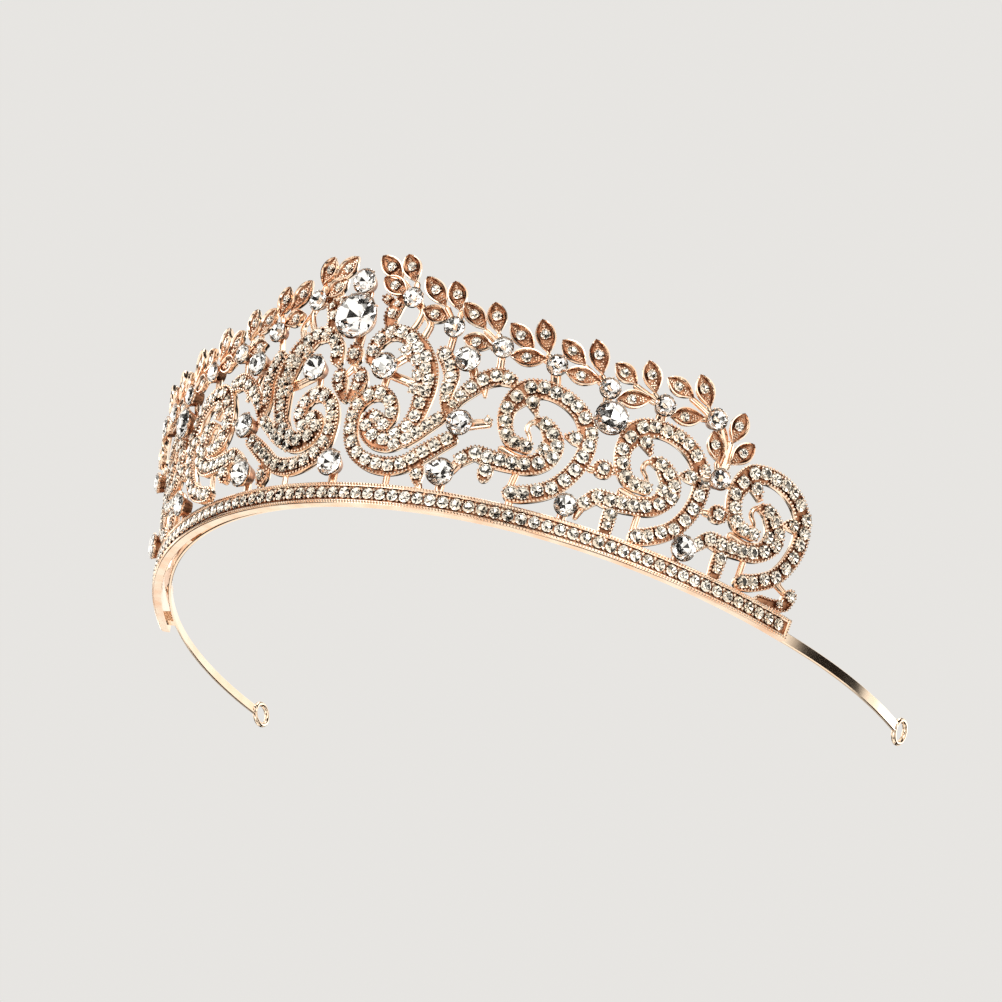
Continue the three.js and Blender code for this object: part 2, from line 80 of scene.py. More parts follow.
makeCamera()
print("camera set")

# ---- materials

metals = {
    "rose": {
        "bright": (0.99, 0.82, 0.67), "deep": (0.90, 0.60, 0.42),
        "roughness": 0.15, "grain": 900, "bump": 0.08,
    },
    # Darker gold painted where shade falls: channel floors and walls, rim tops under the beads, leaf hollows
    # and the lower walls of cups. It is painted shade, not the metal's own colour.
    "paintedShade": {
        "bright": (0.50, 0.25, 0.14), "deep": (0.14, 0.045, 0.02),
        "roughness": 0.32, "grain": 2600, "bump": 0.4,
    },
    "back": {
        "bright": (0.86, 0.62, 0.46), "deep": (0.66, 0.42, 0.28),
        "roughness": 0.36, "grain": 700, "bump": 0.6,
    },
    "pale": {
        "bright": (0.97, 0.80, 0.64), "deep": (0.90, 0.68, 0.50),
        "roughness": 0.12, "grain": 500, "bump": 0.03,
    },
    "foil": {
        "bright": (0.98, 0.95, 0.90), "deep": (0.88, 0.80, 0.70),
        "roughness": 0.04, "grain": 300, "bump": 0.0,
    },
    "silver": {
        "bright": (0.99, 0.99, 0.99), "deep": (0.95, 0.95, 0.96),
        "roughness": 0.02, "grain": 300, "bump": 0.0,
    },
}
glass = {"tint": (1.0, 1.0, 1.0), "haze": (0.97, 0.98, 0.99), "roughness": 0.0, "mottle": 180}


def addNode(tree, kind, place, **inputs):
    node = tree.nodes.new(kind)
    node.location = place
    for key, value in inputs.items():
        node.inputs[key.replace("_", " ")].default_value = value
    return node


def wire(tree, source, output, target, socket):
    tree.links.new(source.outputs[output], target.inputs[socket])


def blankMaterial(name):
    material = bpy.data.materials.new(name)
    material.use_nodes = True
    return material, material.node_tree, material.node_tree.nodes["Principled BSDF"]


def makeMetal(name, look):
    material, tree, shader = blankMaterial(name)
    coords = addNode(tree, "ShaderNodeTexCoord", (-1000, 0))
    patches = addNode(tree, "ShaderNodeTexNoise", (-780, 160), Scale=look["grain"] * 0.25, Detail=3.0)
    grain = addNode(tree, "ShaderNodeTexNoise", (-780, -180), Scale=look["grain"], Detail=5.0)
    tint = addNode(tree, "ShaderNodeValToRGB", (-540, 160))
    tint.color_ramp.elements[0].position = 0.32
    tint.color_ramp.elements[0].color = (*look["deep"], 1)
    tint.color_ramp.elements[1].position = 0.62
    tint.color_ramp.elements[1].color = (*look["bright"], 1)
    wear = addNode(tree, "ShaderNodeMapRange", (-540, -60))
    wear.inputs["To Min"].default_value = look["roughness"] * 0.75
    wear.inputs["To Max"].default_value = look["roughness"] * 1.35
    bump = addNode(tree, "ShaderNodeBump", (-300, -240), Strength=look["bump"], Distance=0.0001)
    shader.inputs["Metallic"].default_value = 1.0
    wire(tree, coords, "Object", patches, "Vector")
    wire(tree, coords, "Object", grain, "Vector")
    wire(tree, patches, "Fac", tint, "Fac")
    wire(tree, grain, "Fac", wear, "Value")
    wire(tree, grain, "Fac", bump, "Height")
    wire(tree, tint, "Color", shader, "Base Color")
    wire(tree, wear, "Result", shader, "Roughness")
    wire(tree, bump, "Normal", shader, "Normal")
    return material


def makeGlass(name, ior):
    material, tree, shader = blankMaterial(name)
    coords = addNode(tree, "ShaderNodeTexCoord", (-780, 0))
    mottle = addNode(tree, "ShaderNodeTexNoise", (-560, 0), Scale=glass["mottle"], Detail=2.0)
    tint = addNode(tree, "ShaderNodeValToRGB", (-320, 0))
    tint.color_ramp.elements[0].color = (*glass["haze"], 1)
    tint.color_ramp.elements[1].color = (*glass["tint"], 1)
    shader.inputs["Transmission Weight"].default_value = 1.0
    shader.inputs["Roughness"].default_value = glass["roughness"]
    shader.inputs["IOR"].default_value = ior
    wire(tree, coords, "Object", mottle, "Vector")
    wire(tree, mottle, "Fac", tint, "Fac")
    wire(tree, tint, "Color", shader, "Base Color")
    return material


roseGold = makeMetal("roseGold", metals["rose"])
# The darker gold that paints shade into the hollows of the castings
paintedShadeGold = makeMetal("paintedShadeGold", metals["paintedShade"])
paleGold = makeMetal("paleGold", metals["pale"])
foilBack = makeMetal("foilBack", metals["foil"])
silverBack = makeMetal("silverBack", metals["silver"])
backGold = makeMetal("backGold", metals["back"])
# Slot 0 is the rose gold, slot 1 the darker gold of painted shade, slot 2 the back of the castings
castLook = [roseGold, paintedShadeGold, backGold]
smallStoneLook = [makeGlass("pavedCrystal", 1.48), foilBack]
largeStoneLook = [makeGlass("clearCrystal", 1.3), silverBack]
print("materials made")

# ---- the bent sheet

plan = {"halfWidth": 83.5, "depth": 100.0, "lean": math.radians(8.8), "bandThickness": 1.8, "steps": 900}


def planTable():
    lengths = [0.0]
    angles = [-math.pi / 2]
    before = Vector((0.0, 0.0))
    for i in range(1, plan["steps"] + 1):
        angle = -math.pi / 2 + math.pi * i / plan["steps"]
        at = Vector((plan["halfWidth"] * math.cos(angle), plan["depth"] * (1 + math.sin(angle))))
        lengths.append(lengths[-1] + (at - before).length)
        angles.append(angle)
        before = at
    return lengths, angles


planLengths, planAngles = planTable()


def planAngle(distance):
    i = min(bisect_right(planLengths, distance), len(planLengths) - 1)
    share = (distance - planLengths[i - 1]) / (planLengths[i] - planLengths[i - 1])
    return planAngles[i - 1] + share * (planAngles[i] - planAngles[i - 1])


def bendPoint(x, y, z):
    angle = planAngle(abs(x))
    side = -1 if x < 0 else 1
    tangent = Vector((-plan["halfWidth"] * math.sin(angle), plan["depth"] * math.cos(angle))).normalized()
    out = y * math.sin(plan["lean"]) + z
    acrossHead = side * (plan["halfWidth"] * math.cos(angle) + tangent.y * out)
    behind = plan["depth"] * (1 + math.sin(angle)) - tangent.x * out - plan["bandThickness"] / 2
    return Vector((acrossHead, behind, y * math.cos(plan["lean"]))) * 0.001


# A place on the sheet with its directions: along the band, up the face and out of it
def sheetFrame(x, y, z, turn=0.0, size=1.0):
    at = bendPoint(x, y, z)
    along = (bendPoint(x + 0.05, y, z) - bendPoint(x - 0.05, y, z)).normalized()
    up = (bendPoint(x, y + 0.5, z) - at).normalized()
    basis = Matrix((along, up, along.cross(up))).transposed().to_4x4()
    return Matrix.Translation(at) @ basis @ Matrix.Rotation(turn, 4, "Z") @ Matrix.Scale(size * 0.001, 4)


# ---- pieces

sharpAngle = math.radians(38)


def pieceName(node):
    head, *rest = node.split("_")
    return head + "".join(word.capitalize() for word in rest)


def addPiece(mesh, node, slotName, stands=True):
    piece = bpy.data.objects.new(pieceName(node), mesh)
    link(piece)
    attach(piece, "root")
    if stands:
        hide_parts(node)
    return piece


def plainMesh(bm, name):
    mesh = bpy.data.meshes.new(name)
    bm.to_mesh(mesh)
    bm.free()
    return mesh


def makeMesh(bm, name, look, smooth=True):
    mesh = plainMesh(bm, name)
    for material in look:
        mesh.materials.append(material)
    mesh.polygons.foreach_set("use_smooth", [smooth] * len(mesh.polygons))
    if smooth:
        mesh.set_sharp_from_angle(angle=sharpAngle)
    mesh.update()
    return mesh


# A right-hand piece and its mirrored left-hand twin
def addPair(mesh, node, slotName, stands=True):
    addPiece(mesh, node + "_right", slotName, stands)
    twin = mesh.copy()
    twin.transform(Matrix.Scale(-1, 4, (1, 0, 0)))
    twin.flip_normals()
    addPiece(twin, node + "_left", slotName, stands)


# ---- small shapes that are set many times, one unit in radius

gem = {
    "large": {
        "sides": 8, "table": 0.56, "crown": 0.26, "shoulder": (0.82, 0.15),
        "pavilion": 0.5, "keel": (0.54, 0.29), "girdle": 0.05,
    },
    "small": {"sides": 10, "table": 0.58, "crown": 0.26, "pavilion": 0.3, "girdle": 0.05},
}


def ringOf(bm, count, radius, height, turn=0.0):
    made = bmesh.ops.create_circle(bm, segments=count, radius=radius)
    place = Matrix.Translation((0, 0, height)) @ Matrix.Rotation(turn, 4, "Z")
    bmesh.ops.transform(bm, matrix=place, verts=made["verts"])


# A cut stone as the hull of its rings: the table, the crown, the girdle and the culet
def makeStone(name, cut):
    bm = bmesh.new()
    sides = cut["sides"]
    step = math.pi / sides
    ringOf(bm, sides, cut["table"], cut["crown"] + cut["girdle"])
    if "shoulder" in cut:
        across, height = cut["shoulder"]
        ringOf(bm, sides, across, height + cut["girdle"], step)
        ringOf(bm, 2 * sides, 1.0, cut["girdle"], step / 2)
        ringOf(bm, 2 * sides, 1.0, 0.0, step / 2)
    else:
        ringOf(bm, sides, 1.0, cut["girdle"] / 2, step)
    if "keel" in cut:
        across, depth = cut["keel"]
        ringOf(bm, sides, across, -depth)
    bmesh.ops.create_vert(bm, co=(0, 0, -cut["pavilion"]))
    bmesh.ops.convex_hull(bm, input=bm.verts)
    bmesh.ops.dissolve_limit(bm, angle_limit=math.radians(1.5), verts=bm.verts, edges=bm.edges)
    bmesh.ops.recalc_face_normals(bm, faces=bm.faces)
    for face in bm.faces:
        face.material_index = 1 if face.normal.z < -0.1 else 0
    return plainMesh(bm, name)


def makeBead(name):
    bm = bmesh.new()
    bmesh.ops.create_icosphere(bm, subdivisions=1, radius=1)
    return plainMesh(bm, name)


# A claw leans over the stone's edge from x = 0, with its root at z = -1
def makeClaw(name):
    bm = bmesh.new()
    bmesh.ops.create_cone(bm, segments=8, radius1=0.34, radius2=0.26, depth=1.3, cap_ends=True)
    bmesh.ops.translate(bm, vec=(0.1, 0, -0.45), verts=bm.verts)
    tip = bmesh.ops.create_icosphere(bm, subdivisions=2, radius=0.36)
    bmesh.ops.scale(bm, vec=(1.35, 0.9, 0.75), verts=tip["verts"])
    bmesh.ops.translate(bm, vec=(-0.08, 0, 0.2), verts=tip["verts"])
    return plainMesh(bm, name)


smallStone = makeStone("smallStone", gem["small"])
largeStone = makeStone("largeStone", gem["large"])
bead = makeBead("bead")
claw = makeClaw("claw")


def stamp(bm, shape, matrix):
    copy = shape.copy()
    copy.transform(matrix)
    bm.from_mesh(copy)
    bpy.data.meshes.remove(copy)


# ---- strips

strip = {
    "step": 0.55,
    "channel": [
        (-1, 0.14, -1.5), (-1, 0, -1.25), (-1, 0, -0.34), (-1, 0.08, -0.2), (-1, 0.34, -0.2),
        (-1, 0.44, -0.4), (1, 0.44, -0.4), (1, 0.34, -0.2), (1, 0.08, -0.2), (1, 0, -0.34), (1, 0, -1.25),
        (1, 0.14, -1.5),
    ],
    "plain": [
        (-1, 0.15, -1.35), (-1, 0, -1.1), (-0.85, 0, -0.8), (-0.5, 0, -0.6), (0, 0, -0.5),
        (0.5, 0, -0.6), (0.85, 0, -0.8), (1, 0, -1.1), (1, 0.15, -1.35),
    ],
    "floorDepth": 0.4,
    # The rim tops under the beads, the channel walls and the floor take the darker gold of painted shade
    "paintedShadeSides": (3, 4, 5, 6, 7),
    "rimsAbove": -0.5,
    "layerStep": 0.012,
    "beadRadius": 0.3,
    "beadPitch": 0.78,
    "beadInset": 0.15,
    "beadHeight": -0.02,
    "beadCrowding": 0.45,
    "hiddenInside": 0.1,
    "pinchedInside": 0.3,
    "stoneLift": 0.16,
    "grainReach": 1.04,
    "grainHeight": 0.2,
    "grainRadius": 0.29,
}


# A smooth line through the points, as [x, y, width] samples
def smoothLine(points):
    knots = [Vector(p) for p in points]
    knots = [2 * knots[0] - knots[1], *knots, 2 * knots[-1] - knots[-2]]
    samples = []
    for i in range(1, len(knots) - 2):
        a, b, c, d = knots[i - 1:i + 3]
        spans = [max((q - p).length ** 0.5, 1e-4) for p, q in ((a, b), (b, c), (c, d))]
        leave = (b - a) / spans[0] - (c - a) / (spans[0] + spans[1]) + (c - b) / spans[1]
        arrive = (c - b) / spans[1] - (d - b) / (spans[1] + spans[2]) + (d - c) / spans[2]
        leave = leave * spans[1]
        arrive = arrive * spans[1]
        for k in range(12):
            t = k / 12
            square = -3 * b + 3 * c - 2 * leave - arrive
            cube = 2 * b - 2 * c + leave + arrive
            samples.append(b + t * leave + t * t * square + t * t * t * cube)
    samples.append(knots[-2])
    return samples


# Even stations along a line: place, heading, and half widths to the left and right, with round ends
def stationsOf(points):
    samples = smoothLine(points)
    lengths = [0.0]
    for before, after in zip(samples, samples[1:]):
        lengths.append(lengths[-1] + (after.xy - before.xy).length)
    count = max(3, round(lengths[-1] / strip["step"]))
    places = []
    for k in range(count + 1):
        distance = lengths[-1] * k / count
        i = min(max(bisect_right(lengths, distance), 1), len(samples) - 1)
        share = (distance - lengths[i - 1]) / max(lengths[i] - lengths[i - 1], 1e-6)
        places.append(samples[i - 1].lerp(samples[i], share))
    gap = lengths[-1] / count
    headings = []
    for k in range(count + 1):
        run = places[min(k + 1, count)].xy - places[max(k - 1, 0)].xy
        headings.append(math.atan2(run.y, run.x))
    stations = []
    for k in range(count + 1):
        before = headings[max(k - 1, 0)]
        after = headings[min(k + 1, count)]
        turn = math.atan2(math.sin(after - before), math.cos(after - before))
        tightest = 0.92 * 2 * gap / max(abs(turn), 1e-6)
        half = places[k].z / 2
        left = min(half, tightest) if turn > 0 else half
        right = min(half, tightest) if turn < 0 else half
        stations.append((places[k].xy, headings[k], left, right))
    return roundEnd(stations[0], -1)[::-1] + stations + roundEnd(stations[-1], 1)


def roundEnd(station, direction):
    at, heading, left, right = station
    ahead = Vector((math.cos(heading), math.sin(heading))) * direction
    half = (left + right) / 2
    ends = []
    for angle in (25, 48, 68, 90):
        across = math.cos(math.radians(angle)) if angle < 90 else 0.0
        reach = half * math.sin(math.radians(angle))
        ends.append((at + ahead * reach, heading, left * across, right * across))
    return ends


# Sweeps a closed section along stations. Each corner of the section is (side, inset, z).
def sweep(bm, stations, section, place, paintedShadeSides=()):
    along = len(stations) - 1
    around = len(section)
    made = bmesh.ops.create_grid(bm, x_segments=along, y_segments=around, size=1)
    cells = {face for vert in made["verts"] for face in vert.link_faces}
    # The listed sides take the darker gold of painted shade; the closing face at the back takes the back gold
    for face in cells:
        corner = int((face.calc_center_median().y + 1) / 2 * around)
        face.material_index = 2 if corner == around - 1 else 1 if corner in paintedShadeSides else 0
    for vert in made["verts"]:
        at, heading, left, right = stations[round((vert.co.x + 1) / 2 * along)]
        side, inset, z = section[round((vert.co.y + 1) / 2 * around) % around]
        half = left if side < 0 else right
        offset = side * max(half - inset, 0)
        spot = at + Vector((math.sin(heading), -math.cos(heading))) * offset
        vert.co = place(spot.x, spot.y, z)
    bmesh.ops.remove_doubles(bm, verts=made["verts"], dist=1e-7)


# How far a place lies inside the nearest of the other strips
def insideOthers(x, y, others):
    deepest = -100.0
    for tree, stations in others:
        spot, index, distance = tree.find((x, y, 0))
        deepest = max(deepest, (stations[index][2] + stations[index][3]) / 2 - distance)
    return deepest


def treeOf(stations):
    tree = KDTree(len(stations))
    for index, station in enumerate(stations):
        tree.insert((station[0].x, station[0].y, 0), index)
    tree.balance()
    return tree, stations


# Beads along both edges of a strip and round its ends
def edgePlaces(stations, inset, pitch):
    left = []
    right = []
    for at, heading, leftHalf, rightHalf in stations:
        side = Vector((math.sin(heading), -math.cos(heading)))
        left.append(at - side * max(leftHalf - inset, 0))
        right.append(at + side * max(rightHalf - inset, 0))
    return spaced(left + right[::-1] + left[:1], pitch)


def spaced(loop, pitch):
    total = sum((after - before).length for before, after in zip(loop, loop[1:]))
    gap = total / max(1, round(total / pitch))
    places = []
    due = 0.0
    walked = 0.0
    for before, after in zip(loop, loop[1:]):
        length = (after - before).length
        while due <= walked + length and length > 0:
            places.append(before.lerp(after, (due - walked) / length))
            due += gap
        walked += length
    return places


# Lays out the strips of one casting: channels with beaded rims, and plain bars between them
def layStrips(bm, channels, bars):
    laid = [treeOf(stationsOf(points)) for points in channels]
    for index, (tree, stations) in enumerate(laid):
        others = laid[:index] + laid[index + 1:]
        level = -strip["layerStep"] * index

        def sunk(x, y, z):
            buried = z > strip["rimsAbove"] and insideOthers(x, y, others) > strip["pinchedInside"]
            return bendPoint(x, y, (min(z, -strip["floorDepth"]) if buried else z) + level)

        sweep(bm, stations, strip["channel"], sunk, strip["paintedShadeSides"])
    for index, points in enumerate(bars):
        level = -strip["layerStep"] * index
        sweep(bm, stationsOf(points), strip["plain"], lambda x, y, z: bendPoint(x, y, z + level))
    bmesh.ops.recalc_face_normals(bm, faces=bm.faces)
    return laid


# Beads along the rims of the channels, left out where another strip or bead is in the way
def beadRims(bm, laid):
    placed = []
    closest = strip["beadCrowding"] * strip["beadPitch"]
    for index, (tree, stations) in enumerate(laid):
        others = laid[:index] + laid[index + 1:]
        for spot in edgePlaces(stations, strip["beadInset"], strip["beadPitch"]):
            if insideOthers(spot.x, spot.y, others) > strip["hiddenInside"]:
                continue
            if any((spot - other).length < closest for other in placed[-400:]):
                continue
            placed.append(spot)
            stamp(bm, bead, sheetFrame(spot.x, spot.y, strip["beadHeight"], 0.0, strip["beadRadius"]))


# Small stones in their own mesh, each held by four grains of the metal
def setStones(gold, stones, places, laid):
    for x, y, radius in places:
        heading = 0.0
        nearest = 1e9
        for tree, stations in laid:
            spot, index, distance = tree.find((x, y, 0))
            if distance < nearest:
                nearest = distance
                heading = stations[index][1]
        stamp(stones, smallStone, sheetFrame(x, y, strip["stoneLift"], heading + radius, radius))
        for quarter in range(4):
            angle = heading + math.pi / 4 + quarter * math.pi / 2
            grainX = x + strip["grainReach"] * radius * math.cos(angle)
            grainY = y + strip["grainReach"] * radius * math.sin(angle)
            stamp(gold, bead, sheetFrame(grainX, grainY, strip["grainHeight"], angle, strip["grainRadius"]))


# Spins a closed profile of (across, along) corners; faces below the given height take the darker gold of
# painted shade
def spun(bm, profile, steps, matrix, paintedShadeBelow=-100.0):
    verts = [bmesh.ops.create_vert(bm, co=(across, 0, along))["vert"][0] for across, along in profile]
    edges = [bm.edges.new((a, b)) for a, b in zip(verts, verts[1:] + verts[:1])]
    bmesh.ops.spin(
        bm, geom=verts + edges, cent=(0, 0, 0), axis=(0, 0, 1), angle=2 * math.pi, steps=steps, use_merge=True
    )
    faces = {face for vert in verts for face in vert.link_faces}
    grown = set(faces)
    while grown:
        grown = {face for old in grown for edge in old.edges for face in edge.link_faces} - faces
        faces |= grown
    for face in faces:
        face.material_index = 1 if face.calc_center_median().z < paintedShadeBelow else 0
    ring = {vert for face in faces for vert in face.verts}
    bmesh.ops.transform(bm, matrix=matrix, verts=list(ring))
    bmesh.ops.recalc_face_normals(bm, faces=list(faces))


collet = {"rim": 0.3, "bore": 0.68, "pavilion": 0.8, "gap": 0.39, "wall": 0.3, "steps": 28}


# Height of a large stone's girdle over the sheet
def seatRise(radius):
    return collet["rim"] + (1 - collet["bore"]) * collet["pavilion"] * radius + collet["gap"]


# A flared cup below a large stone, with claws over the stone's edge
def addCollet(bm, x, y, radius, claws, rise=0.0, turn=0.4, low=-1.3):
    seat = seatRise(radius) + rise
    foot = 0.62 * radius
    lip = radius + 0.02
    wall = collet["wall"]
    slope = gem["large"]["pavilion"]
    profile = [
        (foot - wall, low), (foot, low), (foot + 0.1, low + 0.2), (lip - 0.15, seat - 0.6), (lip, seat - 0.3),
        (lip, seat - 0.08), (lip - wall, seat - 0.08 - slope * wall), (foot - wall, low + 0.5),
    ]
    # The cup wall below the stone takes the darker gold of painted shade
    spun(bm, profile, collet["steps"], sheetFrame(x, y, 0), seat - 0.55)
    size = 0.26 + 0.05 * radius
    for k in range(claws):
        angle = turn + 2 * math.pi * k / claws
        place = sheetFrame(x, y, seat + 0.08, angle) @ Matrix.Translation((radius * 0.99, 0, 0))
        stamp(bm, claw, place @ Matrix.Scale(size, 4))


def addLargeStone(node, x, y, radius, paired, turn=0.0):
    bm = bmesh.new()
    stamp(bm, largeStone, sheetFrame(x, y, seatRise(radius), turn, radius))
    add = addPair if paired else addPiece
    add(makeMesh(bm, pieceName(node), largeStoneLook, smooth=False), node, "crystal")


# Finishes one casting: its metal as one piece and its small stones as another
def addCasting(node, gold, stones, paired):
    add = addPair if paired else addPiece
    add(makeMesh(gold, pieceName(node), castLook), node, "rose_gold")
    if len(stones.verts):
        gems = makeMesh(stones, pieceName(node + "_stones"), smallStoneLook, smooth=False)
        add(gems, node + "_stones", "crystal", stands=False)


# ---- band

band = {
    "halfLength": 101,
    "height": 4.4,
    "channelWall": 0.85,
    "channelDepth": 0.36,
    "step": 1.3,
    "round": 0.12,
    "beadPitch": 0.64,
    "beadRadius": 0.3,
    "beadLine": 0.4,
    "beadHeight": 0.03,
    "endBeads": (1.05, 1.7, 2.35, 3.0, 3.55),
    "stonePitch": 2.6,
    "stoneRadius": 1.2,
    "stoneHeight": 0.08,
    "grainReach": 0.85,
    "grainRadius": 0.4,
    "endWall": 0.9,
    "endRecess": 0.8,
}


# Sweeps a section of (depth, height) corners along the band, between two places
def sweepAlong(bm, section, start, end, step, climb=lambda x: 0.0, tuck=lambda x: 0.0, paintedShadeSides=()):
    count = max(1, round((end - start) / step))
    around = len(section)
    made = bmesh.ops.create_grid(bm, x_segments=count, y_segments=around, size=1)
    # The listed sides take the darker gold of painted shade
    for face in {face for vert in made["verts"] for face in vert.link_faces}:
        corner = int((face.calc_center_median().y + 1) / 2 * around)
        face.material_index = 1 if corner in paintedShadeSides else 0
    for vert in made["verts"]:
        x = start + (end - start) * (vert.co.x + 1) / 2
        depth, height = section[round((vert.co.y + 1) / 2 * around) % around]
        vert.co = bendPoint(x, height + climb(abs(x)), -depth - tuck(abs(x)))
    bmesh.ops.remove_doubles(bm, verts=made["verts"], dist=1e-7)
    swept = [vert for vert in made["verts"] if vert.is_valid]
    openEdges = {edge for vert in swept for edge in vert.link_edges if edge.is_boundary}
    bmesh.ops.holes_fill(bm, edges=list(openEdges), sides=0)
    bmesh.ops.recalc_face_normals(bm, faces=bm.faces)


def roundedBox(depth0, depth1, low, high, cut):
    return [
        (depth0 + cut, low), (depth1 - cut, low), (depth1, low + cut), (depth1, high - cut),
        (depth1 - cut, high), (depth0 + cut, high), (depth0, high - cut), (depth0, low + cut),
    ]


def makeBand():
    gold = bmesh.new()
    stones = bmesh.new()
    top = band["height"]
    wall = band["channelWall"]
    cut = band["round"]
    floor = band["channelDepth"]
    thick = plan["bandThickness"]
    section = [
        (cut, 0), (thick - cut, 0), (thick, cut), (thick, top - cut), (thick - cut, top), (cut, top),
        (0, top - cut), (0, top - wall + cut), (cut, top - wall), (floor, top - wall - 0.1),
        (floor, wall + 0.1), (cut, wall), (0, wall - cut), (0, cut),
    ]
    end = band["halfLength"]
    # The channel's walls and floor along the band take the darker gold of painted shade
    sweepAlong(gold, section, -end, end, band["step"], paintedShadeSides=(8, 9, 10, 11))
    for side in (-1, 1):
        inner, outer = sorted((side * (end - band["endWall"]), side * (end - 0.02)))
        filler = roundedBox(0.02, floor + 0.2, wall - 0.2, top - wall + 0.2, 0.05)
        sweepAlong(gold, filler, inner, outer, 0.5)
    line = band["beadLine"]
    count = round(2 * (end - line) / band["beadPitch"])
    for height in (line, top - line):
        for k in range(count + 1):
            x = -end + line + 2 * (end - line) * k / count
            stamp(gold, bead, sheetFrame(x, height, band["beadHeight"], 0.0, band["beadRadius"]))
    for side in (-1, 1):
        for height in band["endBeads"]:
            place = sheetFrame(side * (end - line), height, band["beadHeight"], 0.0, band["beadRadius"])
            stamp(gold, bead, place)
    reach = end - band["endWall"] - band["endRecess"] - band["stoneRadius"]
    count = round(2 * reach / band["stonePitch"])
    for k in range(count + 1):
        x = -reach + 2 * reach * k / count
        stamp(stones, smallStone, sheetFrame(x, top / 2, band["stoneHeight"], 0.3 * k, band["stoneRadius"]))
        if k < count:
            between = x + reach / count
            for height in (top / 2 - band["grainReach"], top / 2 + band["grainReach"]):
                stamp(gold, bead, sheetFrame(between, height, 0.0, 0.0, band["grainRadius"]))
    addCasting("base_band", gold, stones, False)


makeBand()
print("band made")

# ---- hoop, lugs and end loops

hoop = {
    "front": 3.1,
    "thickness": 0.7,
    "height": 2.2,
    "lift": 1.0,
    "armLength": 45.5,
    "armRise": 1.1,
    "armTuck": 0.9,
    "loopRadius": 2.4,
    "loopWire": 0.55,
    "loopSides": 14,
    "loopSteps": 40,
    "loopGap": 0.3,
    "solder": (0.75, 1.0, 0.62),
    "lugs": (18, 50, 98),
    "lugWidth": 2.4,
    "tongue": 0.5,
}


def armShare(x):
    return max(0.0, x - band["halfLength"]) / hoop["armLength"]


def armClimb(x):
    return hoop["armRise"] * armShare(x)


def armClose(x):
    return hoop["armTuck"] * armShare(x) ** 2


def makeHoop():
    bm = bmesh.new()
    back = hoop["front"] + hoop["thickness"]
    section = roundedBox(hoop["front"], back, hoop["lift"], hoop["lift"] + hoop["height"], 0.16)
    end = band["halfLength"] + hoop["armLength"] + hoop["tongue"]
    sweepAlong(bm, section, -end, end, 1.6, armClimb, armClose)
    addPiece(makeMesh(bm, "hoopStrip", [paleGold]), "hoop_strip", "pale_gold")
    low = hoop["lift"]
    section = roundedBox(plan["bandThickness"] - 0.05, hoop["front"] + 0.1, low, low + hoop["height"], 0.14)
    for index, x in enumerate(hoop["lugs"]):
        bm = bmesh.new()
        sweepAlong(bm, section, x - hoop["lugWidth"] / 2, x + hoop["lugWidth"] / 2, 0.6)
        addPair(makeMesh(bm, f"hoopLug{index + 1}", [paleGold]), f"hoop_lug_{index + 1}", "pale_gold")


def makeEndLoop():
    bm = bmesh.new()
    wire = hoop["loopWire"]
    profile = []
    for k in range(hoop["loopSides"]):
        angle = 2 * math.pi * k / hoop["loopSides"]
        profile.append((hoop["loopRadius"] + wire * math.cos(angle), wire * math.sin(angle)))
    x = band["halfLength"] + hoop["armLength"] + hoop["loopGap"] + hoop["loopRadius"] + wire
    y = hoop["lift"] + hoop["height"] / 2 + armClimb(x)
    z = -hoop["front"] - hoop["thickness"] / 2 - armClose(x)
    spun(bm, profile, hoop["loopSteps"], sheetFrame(x, y, z))
    solder = sheetFrame(x - hoop["loopRadius"] - wire, y, z) @ Matrix.Diagonal((*hoop["solder"], 1))
    ball = bmesh.ops.create_icosphere(bm, subdivisions=3, radius=1.0)
    bmesh.ops.transform(bm, matrix=solder, verts=ball["verts"])
    addPair(makeMesh(bm, "endLoop", [paleGold]), "end_loop", "pale_gold")


makeHoop()
makeEndLoop()
print("hoop made")

# ---- side scrolls, drawn about the eye of the scroll

